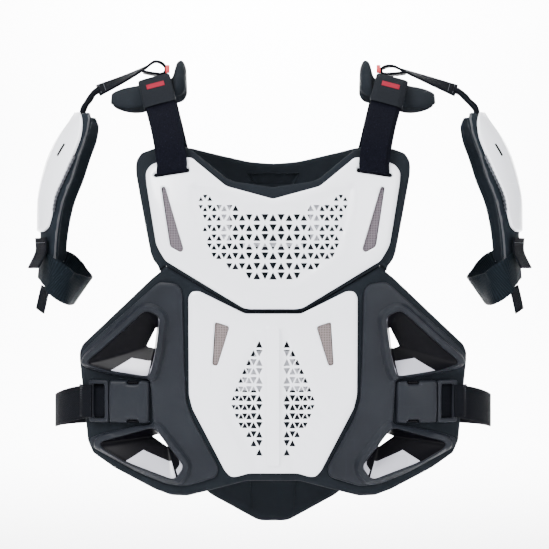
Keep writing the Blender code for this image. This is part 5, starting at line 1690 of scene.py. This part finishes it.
def make_link(side, hanger):
    """Gathered webbing from the hanger's end to the arm guard.

    Its sections are ellipses, narrower in the middle, whose thickness is folded by a sine round
    the section times a slower one along the link.
    """
    end = arm_points(side, 0.0, 0.0, -ARM_PAD_T / 2 * np.ones(())) + [0, 0, LINK_GAP]
    out = (hanger[0] - hanger[1]) / np.linalg.norm(hanger[0] - hanger[1])
    start = hanger[0] - out * LINK_IN
    middle = (start + end) / 2 + [SIDES[side] * LINK_BOW, 0, LINK_BOW]
    points = [start, start + out * (LINK_BOW + LINK_IN), middle, end + [0, 0, LINK_BOW], end]
    link = along(along(points, 9), LINK_COUNT)
    across = across_of(link, (0, 1, 0.3))
    deep = np.cross(directions(link), across)
    turn = np.linspace(0, 2 * math.pi, 49)[:-1]
    run = lengths(link)
    crumple = 1 + 0.16 * np.sin(9 * turn)[None] * (0.6 + 0.4 * np.sin(run * 420.0))[:, None]
    narrow = (0.80 + 0.20 * np.abs(np.linspace(-1, 1, LINK_COUNT)))[:, None]
    wide = LINK_W / 2 * np.cos(turn)[None] * narrow
    thick = LINK_HALF_T * np.sin(turn)[None] * crumple
    rings = link[:, None] + across[:, None] * wide[..., None] + deep[:, None] * thick[..., None]
    loft(
        f"gathered_link_{side}", rings, uv_grid(turn * 0.003, run), WEBBING, "black_webbing",
        [f"arm_link_{side}"], angle=70,
    )


make_chest()
make_belly()
make_body_foam()
make_back()
for each_side in SIDES:
    make_side(each_side)
    make_buckle(each_side)
    make_shoulder(each_side)
    make_arm(each_side)


# Floor, lights and camera

FLOOR_Z = -0.620
SWEEP = ((-4.5, 0), (1.8, 0), (2.6, 0.06), (3.1, 0.25), (3.4, 0.6), (3.55, 1.2), (3.6, 3.6))
SWEEP_HALF_W = 5
LIGHTS = (
    ("key", (-1.6, -2.0, 1.6), (0, 0, -0.25), 1.4, 205),
    ("fill", (1.6, -2.0, 0.5), (0, 0, -0.25), 1.8, 68),
    ("top", (0.0, 0.1, 1.9), (0, 0, -0.2), 1.6, 74),
    ("wall", (0.0, 2.1, 1.5), (0, 3.6, -0.3), 2.2, 640),
)
CAMERA_AT = (0.0017, -2.2, -0.2007)
LENS = 119.46


def make_stage():
    """A pale sweep: floor, then a curve up into a wall behind."""
    line = along(np.column_stack([SWEEP, np.zeros(len(SWEEP))]), 80)
    x = np.linspace(-SWEEP_HALF_W, SWEEP_HALF_W, 5)
    across, back, up = np.broadcast_arrays(x[None], line[:, :1], FLOOR_Z + line[:, 1:2])
    points = np.stack([across, back, up], -1).reshape(-1, 3)
    i, j = np.meshgrid(np.arange(79), np.arange(4), indexing="ij")
    a = (i * 5 + j).ravel()
    faces = np.stack([a, a + 1, a + 6, a + 5], 1)
    mesh = bpy.data.meshes.new("floor")
    mesh.from_pydata(points.tolist(), [], faces.tolist())
    mesh.shade_smooth()
    material = bpy.data.materials.new("pale_floor")
    material.use_nodes = True
    shader = material.node_tree.nodes["Principled BSDF"]
    shader.inputs["Base Color"].default_value = (0.96, 0.96, 0.97, 1.0)
    shader.inputs["Roughness"].default_value = 0.8
    mesh.materials.append(material)
    floor = bpy.data.objects.new("floor", mesh)
    bpy.context.scene.collection.objects.link(floor)


def light(name, place, aim, size, power):
    """A soft square light that points at a place."""
    data = bpy.data.lights.new(name, "AREA")
    data.shape, data.size, data.energy = "SQUARE", size, power
    lamp = bpy.data.objects.new(name, data)
    lamp.location = place
    lamp.rotation_euler = (Vector(aim) - Vector(place)).to_track_quat("-Z", "Y").to_euler()
    bpy.context.scene.collection.objects.link(lamp)


make_stage()
for row in LIGHTS:
    light(*row)
world = bpy.data.worlds.new("studio")
bpy.context.scene.world = world
world.use_nodes = True
background = world.node_tree.nodes["Background"].inputs
background["Color"].default_value = (0.94, 0.95, 0.97, 1.0)
background["Strength"].default_value = 0.38

lens = bpy.data.cameras.new("camera")
lens.lens, lens.sensor_width = LENS, 36.0
eye = bpy.data.objects.new("camera", lens)
eye.location = CAMERA_AT
eye.rotation_euler = (math.radians(90), 0, 0)
bpy.context.scene.collection.objects.link(eye)
bpy.context.scene.camera = eye
